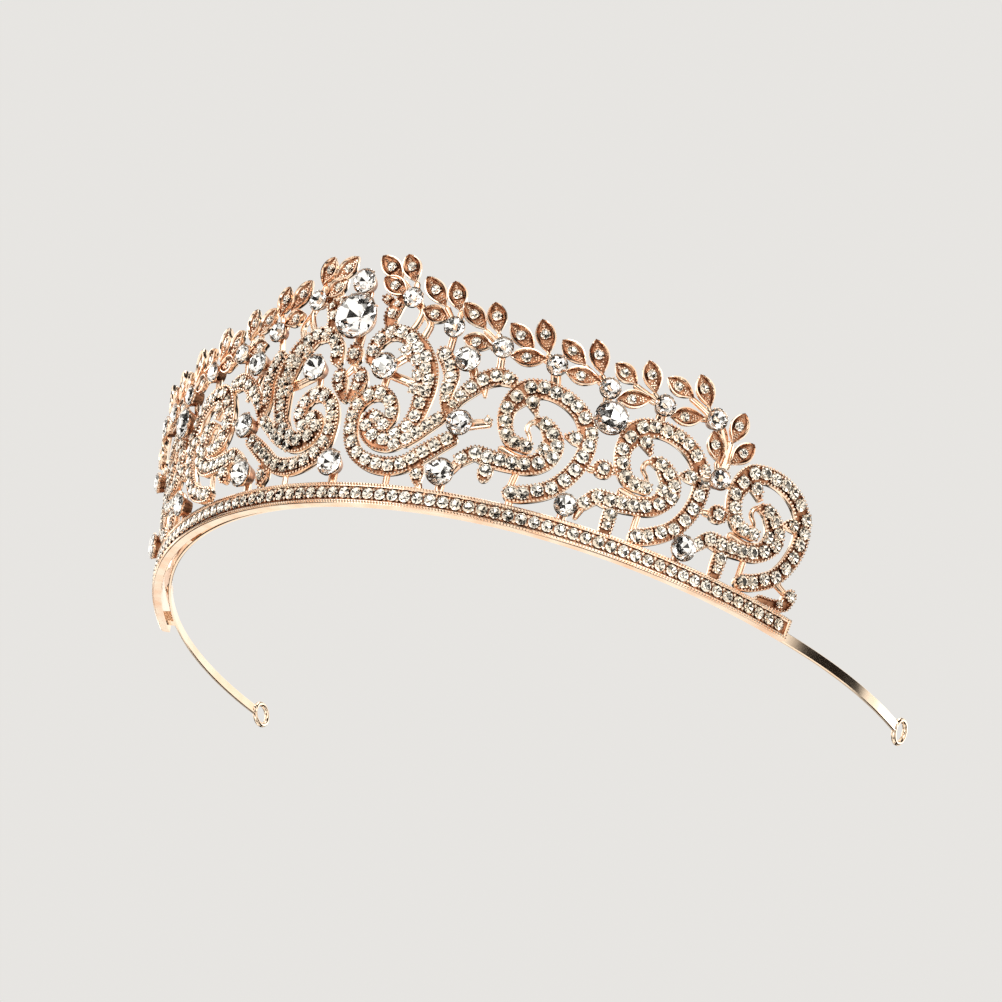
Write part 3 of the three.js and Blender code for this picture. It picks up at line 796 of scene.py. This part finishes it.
scroll = {
    "places": [
        {"eye": (39.2, 18.7), "turn": math.radians(-9.5), "lobeDrop": 11.2, "footStone": (23.2, 7.8)},
        {"eye": (63.0, 18.0), "turn": 0.0, "lobeDrop": 14.0, "footStone": (48.0, 7.0)},
        {"eye": (87.0, 18.3), "turn": 0.0, "lobeDrop": 14.0, "footStone": (72.4, 6.9)},
    ],
    "footStones": (2.8, 2.3, 2.6),
    "sideStone": (51.8, 26.5, 3.4),
    "outer": [
        (0, -12, 3.2), (2.2, -11.2, 3.4), (6.6, -8, 3.4), (9.3, -2.5, 3.4), (9.5, 3.2, 3.4),
        (6.65, 7.85, 3.4), (2.4, 10, 3.4), (-2.3, 10.1, 3.6), (-5.2, 8.4, 4.6), (-7.1, 4.4, 3.4),
        (-6.6, 1, 3), (-4.6, -1.8, 2.8), (-1, -2.15, 2.6),
    ],
    "inner": [
        (-11.6, -9.1, 2.6), (-9.5, -7, 3), (-6.8, -7, 3.4), (-2.15, -6.4, 3.4), (1.6, -5, 3.8),
        (3.7, -2, 4.2), (3.5, 0.7, 4), (1, 3.4, 3), (-0.8, 3.7, 1.8),
    ],
    "lobes": [
        [(-3.4, 6.8, 2.6), (-1.9, 5, 0.8)],
        [(8, 3.6, 2.6), (6.4, 3.5, 2.4), (5.1, 3.2, 0.8)],
    ],
    "bars": [
        [(-0.7, -7, 1.4), (-0.7, -11, 1.4)],
        [(-11.6, -9.1, 2), (-12.4, -12, 1.2)],
        [(-5, -4.2, 1.9), (-1.5, -4.6, 1.9), (1.8, -3.4, 1.6)],
        [(-0.8, 3.7, 1.4), (-2.1, 3.1, 1.1), (-2.3, 1.6, 1.1), (-1.2, 0.3, 0.9), (-0.7, -1.4, 0.9)],
    ],
    "stones": [
        (0, -12), (2.2, -11.2), (4.5, -9.5), (6.8, -7.9), (8.4, -5.3), (9.3, -2.5), (9.6, 0.5), (9.2, 5.7),
        (6.75, 7.9), (4.5, 9.4), (2.3, 10.1), (-0.1, 10.2), (-2.5, 10.3), (-4.8, 9.3), (-6.5, 6.6),
        (-7.3, 3.7), (-6.6, 1.1), (-5.4, -1.3), (-3.35, -2.3), (-1, -2.15), (-3.4, 6.65), (6.9, 3.4),
        (9.7, 3.1), (-11.6, -9.1), (-9.4, -7.1), (-6.9, -7), (-4.5, -6.7), (-2.15, -6.4), (0.1, -5.7),
        (2.5, -4.3), (2.3, -1.4), (4.6, -2.2), (4.3, 0.3), (2.6, 2.2), (0.7, 3.5), (-6.1, -9.7),
    ],
    "stoneRadius": 1.32,
    "post": [(37.4, 7.5, 1.6), (37.4, 3.8, 1.6)],
    "endCurl": [(92, 4.8, 1.8), (95, 5.2, 2), (98, 6.2, 2.4), (98.6, 8.4, 2.9)],
    "endStem": [(93.6, 10.4, 2.4), (96.6, 9.2, 1.6), (98.4, 8.6, 1.6)],
}


def placedAt(points, place):
    spread = []
    for x, y, *rest in points:
        turn = place["turn"]
        spread.append((
            place["eye"][0] + x * math.cos(turn) - y * math.sin(turn),
            place["eye"][1] + x * math.sin(turn) + y * math.cos(turn),
            *rest,
        ))
    return spread


def makeScroll(index):
    place = scroll["places"][index]
    drop = place["lobeDrop"]
    lobe = [(-6.2, -9, 2.8), (-6.2, -10.7, 2.9), (-6.2, -drop + 0.6, 2.6)]
    channels = [placedAt(line, place) for line in [scroll["outer"], scroll["inner"], lobe, *scroll["lobes"]]]
    bars = [placedAt(line, place) for line in scroll["bars"]]
    foot = place["footStone"]
    bars.append([channels[1][0], (*foot, 1.3)])
    stones = [(x, y, scroll["stoneRadius"]) for x, y in placedAt(scroll["stones"], place)]
    if drop > 12:
        stones += [(*spot, 0.95) for spot in placedAt([(-6.2, -12)], place)]
    collets = [(*foot, scroll["footStones"][index], 4)]
    if index == 0:
        bars.append(scroll["post"])
    if index == 1:
        bars.append([(*scroll["sideStone"][:2], 2), channels[0][8]])
        collets.append((*scroll["sideStone"], 6))
    if index == 2:
        channels.append(scroll["endCurl"])
        bars.append(scroll["endStem"])
        stones.append((98.6, 8.4, 1.15))
        stones.append((96.6, 5.9, 0.8))
    bars.append([(*foot, 2), (foot[0], 4.0, 1.8)])
    gold = bmesh.new()
    gems = bmesh.new()
    laid = layStrips(gold, channels, bars)
    for x, y, radius, claws in collets:
        addCollet(gold, x, y, radius, claws)
    beadRims(gold, laid)
    setStones(gold, gems, stones, laid)
    addCasting(f"side_scroll_{index + 1}", gold, gems, True)
    addLargeStone(f"foot_stone_{index + 1}", *foot, scroll["footStones"][index], True, 0.3)


for index in range(len(scroll["places"])):
    makeScroll(index)
addLargeStone("side_stone", *scroll["sideStone"], True)
print("side scrolls made")

# ---- centre scrolls

centre = {
    "hook": [
        (3.9, 30.6, 2.6), (4.3, 33.6, 2.8), (6.6, 36, 3), (9.6, 36, 3.2), (13, 33.6, 4.2), (15.3, 30, 4.4),
        (16.2, 26, 4.4), (16, 22, 3.8), (15.3, 18.5, 3.4), (13.6, 15, 4.2), (10.8, 13.4, 4.2),
        (7.8, 13.8, 3.8), (5.9, 16, 3.4), (6.6, 18.3, 3.2), (8.3, 17.8, 2.6),
    ],
    "arm": [
        (9.4, 16.6, 2.4), (10.5, 19, 2.6), (9.7, 21.8, 2.8), (7.5, 23.3, 3), (4.9, 22.8, 3), (2.9, 20.5, 2.8),
        (2.3, 17.2, 2.8), (3, 13.2, 2.9), (5, 10.3, 3), (8.3, 8.7, 3.4), (12, 8.3, 3.6), (15.4, 9.2, 3.4),
        (18.4, 11.5, 3.6), (21.2, 13.8, 3.4), (23.3, 15.4, 3),
    ],
    "stem": [(14.4, 13.8, 2.4), (16.2, 15.2, 2.4), (18, 17, 2.4), (19.8, 18.8, 2.4), (20.8, 19.8, 2)],
    "lobe": [(18, 11, 1.6), (18.3, 7.2, 2.8), (18.6, 5.9, 1.8)],
    "bars": [
        [(12, 8.5, 1.4), (12, 3.8, 1.4)],
        [(18.3, 7.2, 1.6), (19.4, 3.8, 1.6)],
        [(11, 31.6, 2), (14, 31.8, 3.4)],
        [(12.8, 26.3, 2.2), (15.6, 26.3, 3)],
        [(11, 31.8, 2), (7.7, 28.4, 1.8), (12.8, 26.2, 2)],
        [(7.7, 28.4, 1.6), (7.2, 23.4, 1.6)],
    ],
    "innerStone": (7.7, 28.4, 2.75),
    "hookStones": [
        (4.05, 32.1), (4.95, 34.6), (7, 36.1), (9.3, 36.2), (11.5, 35), (10.9, 32.5), (13.1, 33.2),
        (15, 31.4), (13.3, 30.6), (15.4, 29), (16.5, 26.7), (14.3, 27.4), (16.4, 24.3), (14.2, 24.6),
        (15.8, 21.7), (15.4, 19), (14.3, 16.6), (12.1, 14.9), (12.4, 12.7), (9.9, 13.6), (7.4, 14.4),
        (5.7, 16.4), (7.3, 18.1), (9.3, 16.7),
    ],
    "armStones": [
        (10.4, 19.3), (9.5, 21.7), (7.4, 23.2), (5, 22.7), (3, 20.7), (2.3, 18.2), (2.5, 15.6),
        (3.3, 12.9), (4.9, 10.7), (7.1, 9.2), (9.6, 8.5), (12.1, 8.3), (14.6, 8.9), (16.7, 10.2),
        (18.6, 11.8), (20.6, 13.4), (22.7, 15),
    ],
    "stemStones": [(14.7, 14.2), (16.5, 15.6), (18.2, 17.2), (19.9, 18.8)],
    "stoneRadius": 1.3,
}


def makeCentreScroll():
    gold = bmesh.new()
    gems = bmesh.new()
    laid = layStrips(gold, [centre["hook"], centre["arm"], centre["stem"], centre["lobe"]], centre["bars"])
    addCollet(gold, *centre["innerStone"], 4)
    beadRims(gold, laid)
    places = centre["hookStones"] + centre["armStones"] + centre["stemStones"]
    stones = [(x, y, centre["stoneRadius"]) for x, y in places]
    stones.append((18.3, 7.2, 1.15))
    setStones(gold, gems, stones, laid)
    addCasting("centre_scroll", gold, gems, True)
    addLargeStone("inner_stone", *centre["innerStone"], True, 0.2)


makeCentreScroll()
print("centre scrolls made")

# ---- plumes and links

plume = {
    "channels": [
        [
            (18.4, 32.5, 3), (19.9, 30.3, 3.2), (20.8, 27.8, 3), (20.5, 25, 2.6), (20.6, 22.6, 1.9),
            (21.4, 20.4, 1.6),
        ],
        [
            (21.6, 20.4, 1.6), (22.9, 23.4, 2.3), (25, 26.3, 3.2), (27.5, 28.7, 3.4), (30, 29.7, 3.4),
            (32, 29.4, 2.6),
        ],
    ],
    "bars": [
        [(27.2, 27.6, 1.8), (27.8, 25.4, 0.8)],
        [(21.4, 20.6, 1.8), (24.6, 18.4, 1.8)],
        [(19.9, 30.4, 1.8), (23.4, 31.6, 1.8), (25.6, 27.6, 1.8)],
        [(24.6, 18.4, 2), (27.6, 19.6, 2.2), (29.6, 20, 1.8)],
    ],
    "collets": [(23.4, 31.6, 2.6), (24.6, 18.4, 2.6)],
    "stones": [
        (18.6, 32.3), (19.9, 30.2), (20.7, 27.9), (20.5, 25.4), (23.4, 24.3), (25.0, 26.3), (26.9, 28.2),
        (29.2, 29.5), (31.5, 29.5),
    ],
    "fineStones": [(20.6, 23.3), (22.3, 22.4), (29.6, 20.2)],
    "stoneRadius": 1.28,
    "fineRadius": 0.8,
}
links = {"places": [(53.2, 16.7), (77.6, 16.7)], "reach": 2.4, "width": 3.6, "stoneRadius": 1.25}


def makePlume():
    gold = bmesh.new()
    gems = bmesh.new()
    laid = layStrips(gold, plume["channels"], plume["bars"])
    for place in plume["collets"]:
        addCollet(gold, *place, 4)
    beadRims(gold, laid)
    stones = [(*spot, plume["stoneRadius"]) for spot in plume["stones"]]
    stones += [(*spot, plume["fineRadius"]) for spot in plume["fineStones"]]
    setStones(gold, gems, stones, laid)
    addCasting("plume", gold, gems, True)
    addLargeStone("plume_stone_upper", *plume["collets"][0], True, 0.1)
    addLargeStone("plume_stone_lower", *plume["collets"][1], True, 0.5)


def makeLink(index):
    x, y = links["places"][index]
    gold = bmesh.new()
    gems = bmesh.new()
    reach = links["reach"]
    cup = [(x - 0.2, y, links["width"]), (x + 0.2, y, links["width"])]
    bar = [(x - reach, y - 0.5, 1.6), (x, y, 1.8), (x + reach, y + 0.8, 1.8)]
    laid = layStrips(gold, [cup], [bar])
    beadRims(gold, laid)
    setStones(gold, gems, [(x, y, links["stoneRadius"])], laid)
    addCasting(f"scroll_link_{index + 1}", gold, gems, True)


makePlume()
makeLink(0)
makeLink(1)
print("plumes and links made")

# ---- setting at the centre

setting = {
    "centreStone": (0, 38.8, 4.8),
    "crownStone": (0, 46.508, 2.6),
    "footStone": (0, 8, 2.75),
    "leaf": [(0.7, 22.2, 1.6), (1.7, 24.2, 2.5), (2.3, 26, 3.3), (2.3, 27.3, 2.6)],
    "shoulder": [(2.1, 27.2, 1.6), (0.8, 28.2, 1.5), (0, 29.5, 1.7), (0, 31.5, 2)],
    "bud": [(0, 30.9, 3.2), (0, 32.2, 3.2)],
    "neck": [(0, 32, 2), (0, 36, 2.4)],
    "bridge": [(0, 42, 2.2), (0, 45, 2.2)],
    "stones": [(0, 31.5, 1.2), (2.3, 26.6, 1.15), (-2.3, 26.6, 1.15), (1.8, 24.4, 0.8), (-1.8, 24.4, 0.8)],
}


def mirrored(points):
    return [(-x, *rest) for x, *rest in points]


def makeSetting():
    gold = bmesh.new()
    gems = bmesh.new()
    channels = [setting["leaf"], mirrored(setting["leaf"]), setting["bud"]]
    bars = [setting["shoulder"], mirrored(setting["shoulder"]), setting["neck"], setting["bridge"]]
    laid = layStrips(gold, channels, bars)
    addCollet(gold, *setting["centreStone"], 8)
    addCollet(gold, *setting["crownStone"], 4, turn=0.8)
    beadRims(gold, laid)
    setStones(gold, gems, setting["stones"], laid)
    addCasting("centre_setting", gold, gems, False)
    addLargeStone("centre_stone", *setting["centreStone"], False, 0.2)
    addLargeStone("crown_stone", *setting["crownStone"], False, 0.1)
    gold = bmesh.new()
    x, y, radius = setting["footStone"]
    layStrips(gold, [], [[(x, y, 2), (x, 3.8, 2)]])
    addCollet(gold, x, y, radius, 4, turn=0.8)
    addCasting("centre_foot_collet", gold, bmesh.new(), False)
    addLargeStone("centre_foot_stone", x, y, radius, False, 0.3)


makeSetting()
print("centre setting made")

# ---- leaf sprays

spray = {
    "flare": 0.022,
    "leafWidth": 3.9,
    "leafBelly": 0.42,
    "stoneAlong": 0.43,
    "stoneRadius": 0.98,
    "stoneHeight": 0.22,
    "leafSteps": 16,
    "grainRadius": 0.2,
    "grainHeight": 0.24,
    "cupRadius": 2.15,
    "cupSink": 0.75,
    "stemWidth": 1.3,
    "granule": 0.24,
    "tipCurl": 0.5,
}
sprays = [
    {
        "cup": (10.3, 43.4),
        "leaves": [((2.5, 52.1), (7.5, 46.9)), ((7.8, 52.4), (10, 46.7)), ((3.8, 47.4), (9, 43.9))],
        "webs": [
            [(7.8, 43.4, 2), (6.8, 41.6, 2.8), (6.2, 39.4, 2.8), (6.7, 37.2, 2)],
            [(6.6, 42.2, 1.6), (4.7, 43.3, 1.9)],
        ],
        "webStones": [(6.4, 40.1, 1.0), (7.1, 42.2, 0.7), (5, 43.1, 0.5)],
        "struts": [
            [(10.2, 43.6, 1.6), (12.2, 41.4, 1.5), (11.6, 38.6, 1.5), (10.8, 37.2, 1.4)],
            [(12.2, 41.4, 1.5), (14.2, 38.8, 1.5), (13.6, 36.2, 1.6)],
        ],
    },
    {
        "cup": (19.5, 37.9),
        "leaves": [((12.3, 47.8), (17, 42)), ((17.8, 47.3), (19.8, 41.3)), ((12.8, 40.8), (18.2, 39.3))],
        "struts": [[(19.4, 38.1, 1.5), (19, 32.8, 1.5)]],
    },
    {
        "cup": (29.3, 35.2),
        "leaves": [((20.4, 43), (25.4, 38.3)), ((26, 44), (27.9, 37.8)), ((21.6, 35.6), (27.4, 35.1))],
        "struts": [[(29.1, 35.4, 1.5), (29.5, 29.8, 1.5)]],
    },
    {
        "cup": (39.7, 33.9),
        "leaves": [((29.6, 40.2), (35, 35.7)), ((35, 42.3), (37.8, 35.7)), ((31, 33.5), (37.8, 34.7))],
        "struts": [[(39.5, 34.1, 2), (40.8, 28.7, 2)]],
    },
    {
        "cup": (50.1, 32.2),
        "leaves": [((39.4, 39), (44.7, 35.4)), ((45.2, 40.9), (48.2, 34.4)), ((41.4, 32.8), (48.2, 33.1))],
        "struts": [[(50, 32.5, 1.8), (51, 27.6, 1.8)]],
    },
    {
        "cup": (60.7, 32.4),
        "leaves": [((49.7, 37.2), (54.7, 34.6)), ((55.4, 39.9), (58.5, 34.1)), ((51.7, 30.2), (58.2, 32.8))],
        "struts": [[(60.9, 32.8, 2), (61.1, 27.6, 2)]],
    },
    {
        "cup": (70.9, 33.7),
        "leaves": [((59.5, 37.7), (65.5, 36)), ((65.2, 40.8), (69, 35.3)), ((62.2, 30.5), (68.5, 33))],
    },
    {
        "cup": (75, 22.6),
        "leaves": [((70.7, 31), (73.9, 25.5)), ((75.5, 36.9), (75.2, 30.3)), ((79.2, 31.8), (75.9, 26))],
        "stems": [
            [(75.4, 23.1, 1.6), (75.2, 30.5, 1.4)],
            [(75, 27.5, 1.2), (73, 31.9, 2.2), (71.8, 33.3, 1.4)],
        ],
        "struts": [
            [(75.4, 23.1, 1.6), (81.4, 23.3, 1.6)],
            [(75.4, 23.1, 1.6), (70.4, 21.5, 1.6)],
        ],
    },
]

# Places across a leaf from one edge to the other, as (share of the half width, inset, height)
leafSection = [
    (-1, 0.3, -0.6), (-1, 0.0, 0.3), (-1, 0.08, 0.64), (-1, 0.3, 0.66), (-1, 0.44, 0.3), (-0.6, 0.1, -0.05),
    (0, 0, -0.15), (0.6, 0.1, -0.05), (1, 0.44, 0.3), (1, 0.3, 0.66), (1, 0.08, 0.64), (1, 0.0, 0.3),
    (1, 0.3, -0.6), (0, 0, -1.1),
]

# Granules over a leaf, as (share of the length from the tip, distance across)
granulePlaces = [
    (0.13, 0), (0.19, 0.12), (0.19, -0.12), (0.25, 0), (0.28, 0.34), (0.28, -0.34), (0.33, 0.62),
    (0.33, -0.62), (0.62, 0.6), (0.62, -0.6), (0.68, 0.25), (0.68, -0.25), (0.75, 0), (0.75, 0.4),
    (0.75, -0.4), (0.83, 0),
]


def addLeaf(gold, gems, tip, base, rise):
    tip = Vector(tip)
    run = Vector(base) - tip
    length = run.length
    run.normalize()
    side = Vector((-run.y, run.x))
    around = len(leafSection)

    def leafPoint(t, share, inset, height):
        along = length * (2 * spray["leafBelly"] * t * (1 - t) + t * t)
        half = spray["leafWidth"] * 2 * t * (1 - t)
        fade = min(1.0, half / 0.7)
        offset = share * max(half - inset * fade, 0)
        spot = tip + run * along + side * offset
        curl = spray["tipCurl"] * (1 - along / length) ** 2
        return bendPoint(spot.x, spot.y, height * (0.35 + 0.65 * fade) + rise + curl)

    made = bmesh.ops.create_grid(gold, x_segments=spray["leafSteps"], y_segments=around, size=1)
    # The hollow between the leaf's rims takes the darker gold of painted shade
    cells = {face for vert in made["verts"] for face in vert.link_faces}
    for face in cells:
        corner = int((face.calc_center_median().y + 1) / 2 * around)
        face.material_index = 1 if 4 <= corner <= 7 else 0
    for vert in made["verts"]:
        t = (vert.co.x + 1) / 2
        share, inset, height = leafSection[round((vert.co.y + 1) / 2 * around) % around]
        vert.co = leafPoint(t, share, inset, height)
    bmesh.ops.remove_doubles(gold, verts=made["verts"], dist=1e-7)
    faces = list({face for vert in made["verts"] if vert.is_valid for face in vert.link_faces})
    bmesh.ops.recalc_face_normals(gold, faces=faces)

    heading = math.atan2(run.y, run.x)
    seat = tip + run * length * spray["stoneAlong"]
    lift = spray["tipCurl"] * (1 - spray["stoneAlong"]) ** 2 + rise
    seatPlace = sheetFrame(seat.x, seat.y, spray["stoneHeight"] + lift, heading, spray["stoneRadius"])
    stamp(gems, smallStone, seatPlace)
    for quarter in range(4):
        angle = heading + math.pi / 4 + quarter * math.pi / 2
        spot = seat + Vector((math.cos(angle), math.sin(angle))) * spray["stoneRadius"]
        stamp(gold, bead, sheetFrame(spot.x, spot.y, spray["grainHeight"] + lift, 0.0, spray["grainRadius"]))
    for along, across in granulePlaces:
        spot = tip + run * length * along + side * across
        curl = spray["tipCurl"] * (1 - along) ** 2
        stamp(gold, bead, sheetFrame(spot.x, spot.y, 0.02 + rise + curl, 0.0, spray["granule"]))


def makeSpray(index):
    drawn = sprays[index]
    gold = bmesh.new()
    gems = bmesh.new()
    x, y = drawn["cup"]

    def raisedBar(px, py, pz):
        return bendPoint(px, py, pz + 0.2 + spray["flare"] * abs(px))

    def strutBar(px, py, pz):
        away = min(1.0, math.hypot(px - x, py - y) / 4.5)
        return bendPoint(px, py, pz + spray["flare"] * abs(px) * (1 - away))

    stems = [[(*base, spray["stemWidth"]), (x, y, spray["stemWidth"])] for tip, base in drawn["leaves"]]
    for points in stems + drawn.get("stems", []):
        sweep(gold, stationsOf(points), strip["plain"], raisedBar)
    for points in drawn.get("struts", []):
        sweep(gold, stationsOf(points), strip["plain"], strutBar)
    bmesh.ops.recalc_face_normals(gold, faces=gold.faces)
    if "webs" in drawn:
        webs = layStrips(gold, drawn["webs"], [])
        beadRims(gold, webs)
        setStones(gold, gems, drawn["webStones"], webs)
    for tip, base in drawn["leaves"]:
        addLeaf(gold, gems, tip, base, spray["flare"] * abs(tip[0]))
    rise = spray["flare"] * x - spray["cupSink"]
    addCollet(gold, x, y, spray["cupRadius"], 4, rise, turn=0.4 + 0.3 * index, low=-1.2)
    addCasting(f"leaf_spray_{index + 1}", gold, gems, True)
    height = seatRise(spray["cupRadius"]) + rise
    cupStone = bmesh.new()
    stamp(cupStone, largeStone, sheetFrame(x, y, height, 0.4 * index, spray["cupRadius"]))
    mesh = makeMesh(cupStone, f"cupStone{index + 1}", largeStoneLook, smooth=False)
    addPair(mesh, f"cup_stone_{index + 1}", "crystal", stands=False)


for index in range(len(sprays)):
    makeSpray(index)
print("leaf sprays made")

# ---- floor, backdrop and lights

studio = {
    "floorSize": 6.0,
    "floorDrop": 0.0006,
    "floorTint": (0.22, 0.215, 0.21),
    "floorGlow": (0.56, 0.548, 0.53),
    "backdrop": (0.80, 0.785, 0.76),
    "dark": (0.015, 0.013, 0.012),
    "bright": (1.24, 1.18, 1.08),
    "tint": (1.0, 0.965, 0.92),
    "screenScale": 1.9,
    "screenEdges": (0.44, 0.52),
    "aim": (0, 0.03, 0.02),
    "lights": [
        {"name": "keyBox", "at": (-0.42, -1.25, 0.12), "size": (0.55, 0.75), "glow": 3.2},
        {"name": "rightBox", "at": (1.25, -0.45, -0.15), "size": (0.45, 0.8), "glow": 1.4},
        {"name": "highBox", "at": (0.75, -1.0, 0.45), "size": (0.6, 0.35), "glow": 3.2},
        {"name": "lowBox", "at": (0.55, -0.9, -1.05), "size": (0.7, 0.35), "glow": 2.4},
        {"name": "leftBox", "at": (-1.3, 0.2, 0.35), "size": (0.5, 0.9), "glow": 2.0},
        {"name": "farLeftBox", "at": (-1.0, -0.75, -0.45), "size": (0.3, 0.6), "glow": 2.4},
        {"name": "topBox", "at": (0.1, 0.1, 1.3), "size": (0.9, 0.5), "glow": 2.6},
        {"name": "backBox", "at": (0.5, 1.3, 0.4), "size": (0.8, 0.5), "glow": 1.6},
    ],
}


# The floor shows from above only, to the camera alone, and is lit mostly by itself
def makeFloor():
    bm = bmesh.new()
    bmesh.ops.create_grid(bm, x_segments=1, y_segments=1, size=studio["floorSize"] / 2)
    bmesh.ops.translate(bm, vec=(0, 0, -studio["floorDrop"]), verts=bm.verts)
    mesh = bpy.data.meshes.new("floor")
    bm.to_mesh(mesh)
    bm.free()
    material, tree, shader = blankMaterial("paleFloor")
    shader.inputs["Base Color"].default_value = (*studio["floorTint"], 1)
    shader.inputs["Roughness"].default_value = 0.9
    shader.inputs["Specular IOR Level"].default_value = 0.1
    shader.inputs["Emission Color"].default_value = (*studio["floorGlow"], 1)
    shader.inputs["Emission Strength"].default_value = 1.0
    facing = addNode(tree, "ShaderNodeNewGeometry", (-400, 300))
    path = addNode(tree, "ShaderNodeLightPath", (-400, 600))
    front = addNode(tree, "ShaderNodeMath", (-200, 300))
    front.operation = "SUBTRACT"
    front.inputs[0].default_value = 1.0
    seen = addNode(tree, "ShaderNodeMath", (0, 400))
    seen.operation = "MULTIPLY"
    clear = addNode(tree, "ShaderNodeBsdfTransparent", (0, 200))
    blend = addNode(tree, "ShaderNodeMixShader", (300, 200))
    output = tree.nodes["Material Output"]
    wire(tree, facing, "Backfacing", front, 1)
    wire(tree, front, "Value", seen, 0)
    wire(tree, path, "Is Camera Ray", seen, 1)
    wire(tree, seen, "Value", blend, "Fac")
    wire(tree, clear, "BSDF", blend, 1)
    wire(tree, shader, "BSDF", blend, 2)
    wire(tree, blend, "Shader", output, "Surface")
    mesh.materials.append(material)
    floor = bpy.data.objects.new("floor", mesh)
    link(floor)


def makeWorld():
    world = bpy.data.worlds.new("studio")
    world.use_nodes = True
    bpy.context.scene.world = world
    tree = world.node_tree
    tree.nodes.clear()
    coords = addNode(tree, "ShaderNodeTexCoord", (-900, 0))
    screens = addNode(tree, "ShaderNodeTexNoise", (-700, 0), Scale=studio["screenScale"], Detail=1.0)
    ramp = addNode(tree, "ShaderNodeValToRGB", (-500, 0))
    ramp.color_ramp.elements[0].position = studio["screenEdges"][0]
    ramp.color_ramp.elements[0].color = (*studio["dark"], 1)
    ramp.color_ramp.elements[1].position = studio["screenEdges"][1]
    ramp.color_ramp.elements[1].color = (*studio["bright"], 1)
    room = addNode(tree, "ShaderNodeBackground", (-200, 0))
    seen = addNode(tree, "ShaderNodeBackground", (-200, -200), Color=(*studio["backdrop"], 1))
    path = addNode(tree, "ShaderNodeLightPath", (-200, 300))
    blend = addNode(tree, "ShaderNodeMixShader", (0, 0))
    output = addNode(tree, "ShaderNodeOutputWorld", (200, 0))
    wire(tree, coords, "Generated", screens, "Vector")
    wire(tree, screens, "Fac", ramp, "Fac")
    wire(tree, ramp, "Color", room, "Color")
    wire(tree, path, "Is Camera Ray", blend, "Fac")
    wire(tree, room, "Background", blend, 1)
    wire(tree, seen, "Background", blend, 2)
    wire(tree, blend, "Shader", output, "Surface")


def makeLights():
    aim = Vector(studio["aim"])
    for light in studio["lights"]:
        lamp = bpy.data.lights.new(light["name"], "AREA")
        lamp.shape = "RECTANGLE"
        lamp.size, lamp.size_y = light["size"]
        lamp.energy = light["glow"] * math.pi * lamp.size * lamp.size_y
        lamp.color = studio["tint"]
        holder = bpy.data.objects.new(light["name"], lamp)
        holder.location = light["at"]
        holder.rotation_mode = "QUATERNION"
        holder.rotation_quaternion = (aim - Vector(light["at"])).to_track_quat("-Z", "Y")
        link(holder)


makeFloor()
makeWorld()
makeLights()
bpy.context.scene.view_settings.view_transform = "Standard"
print("studio made")
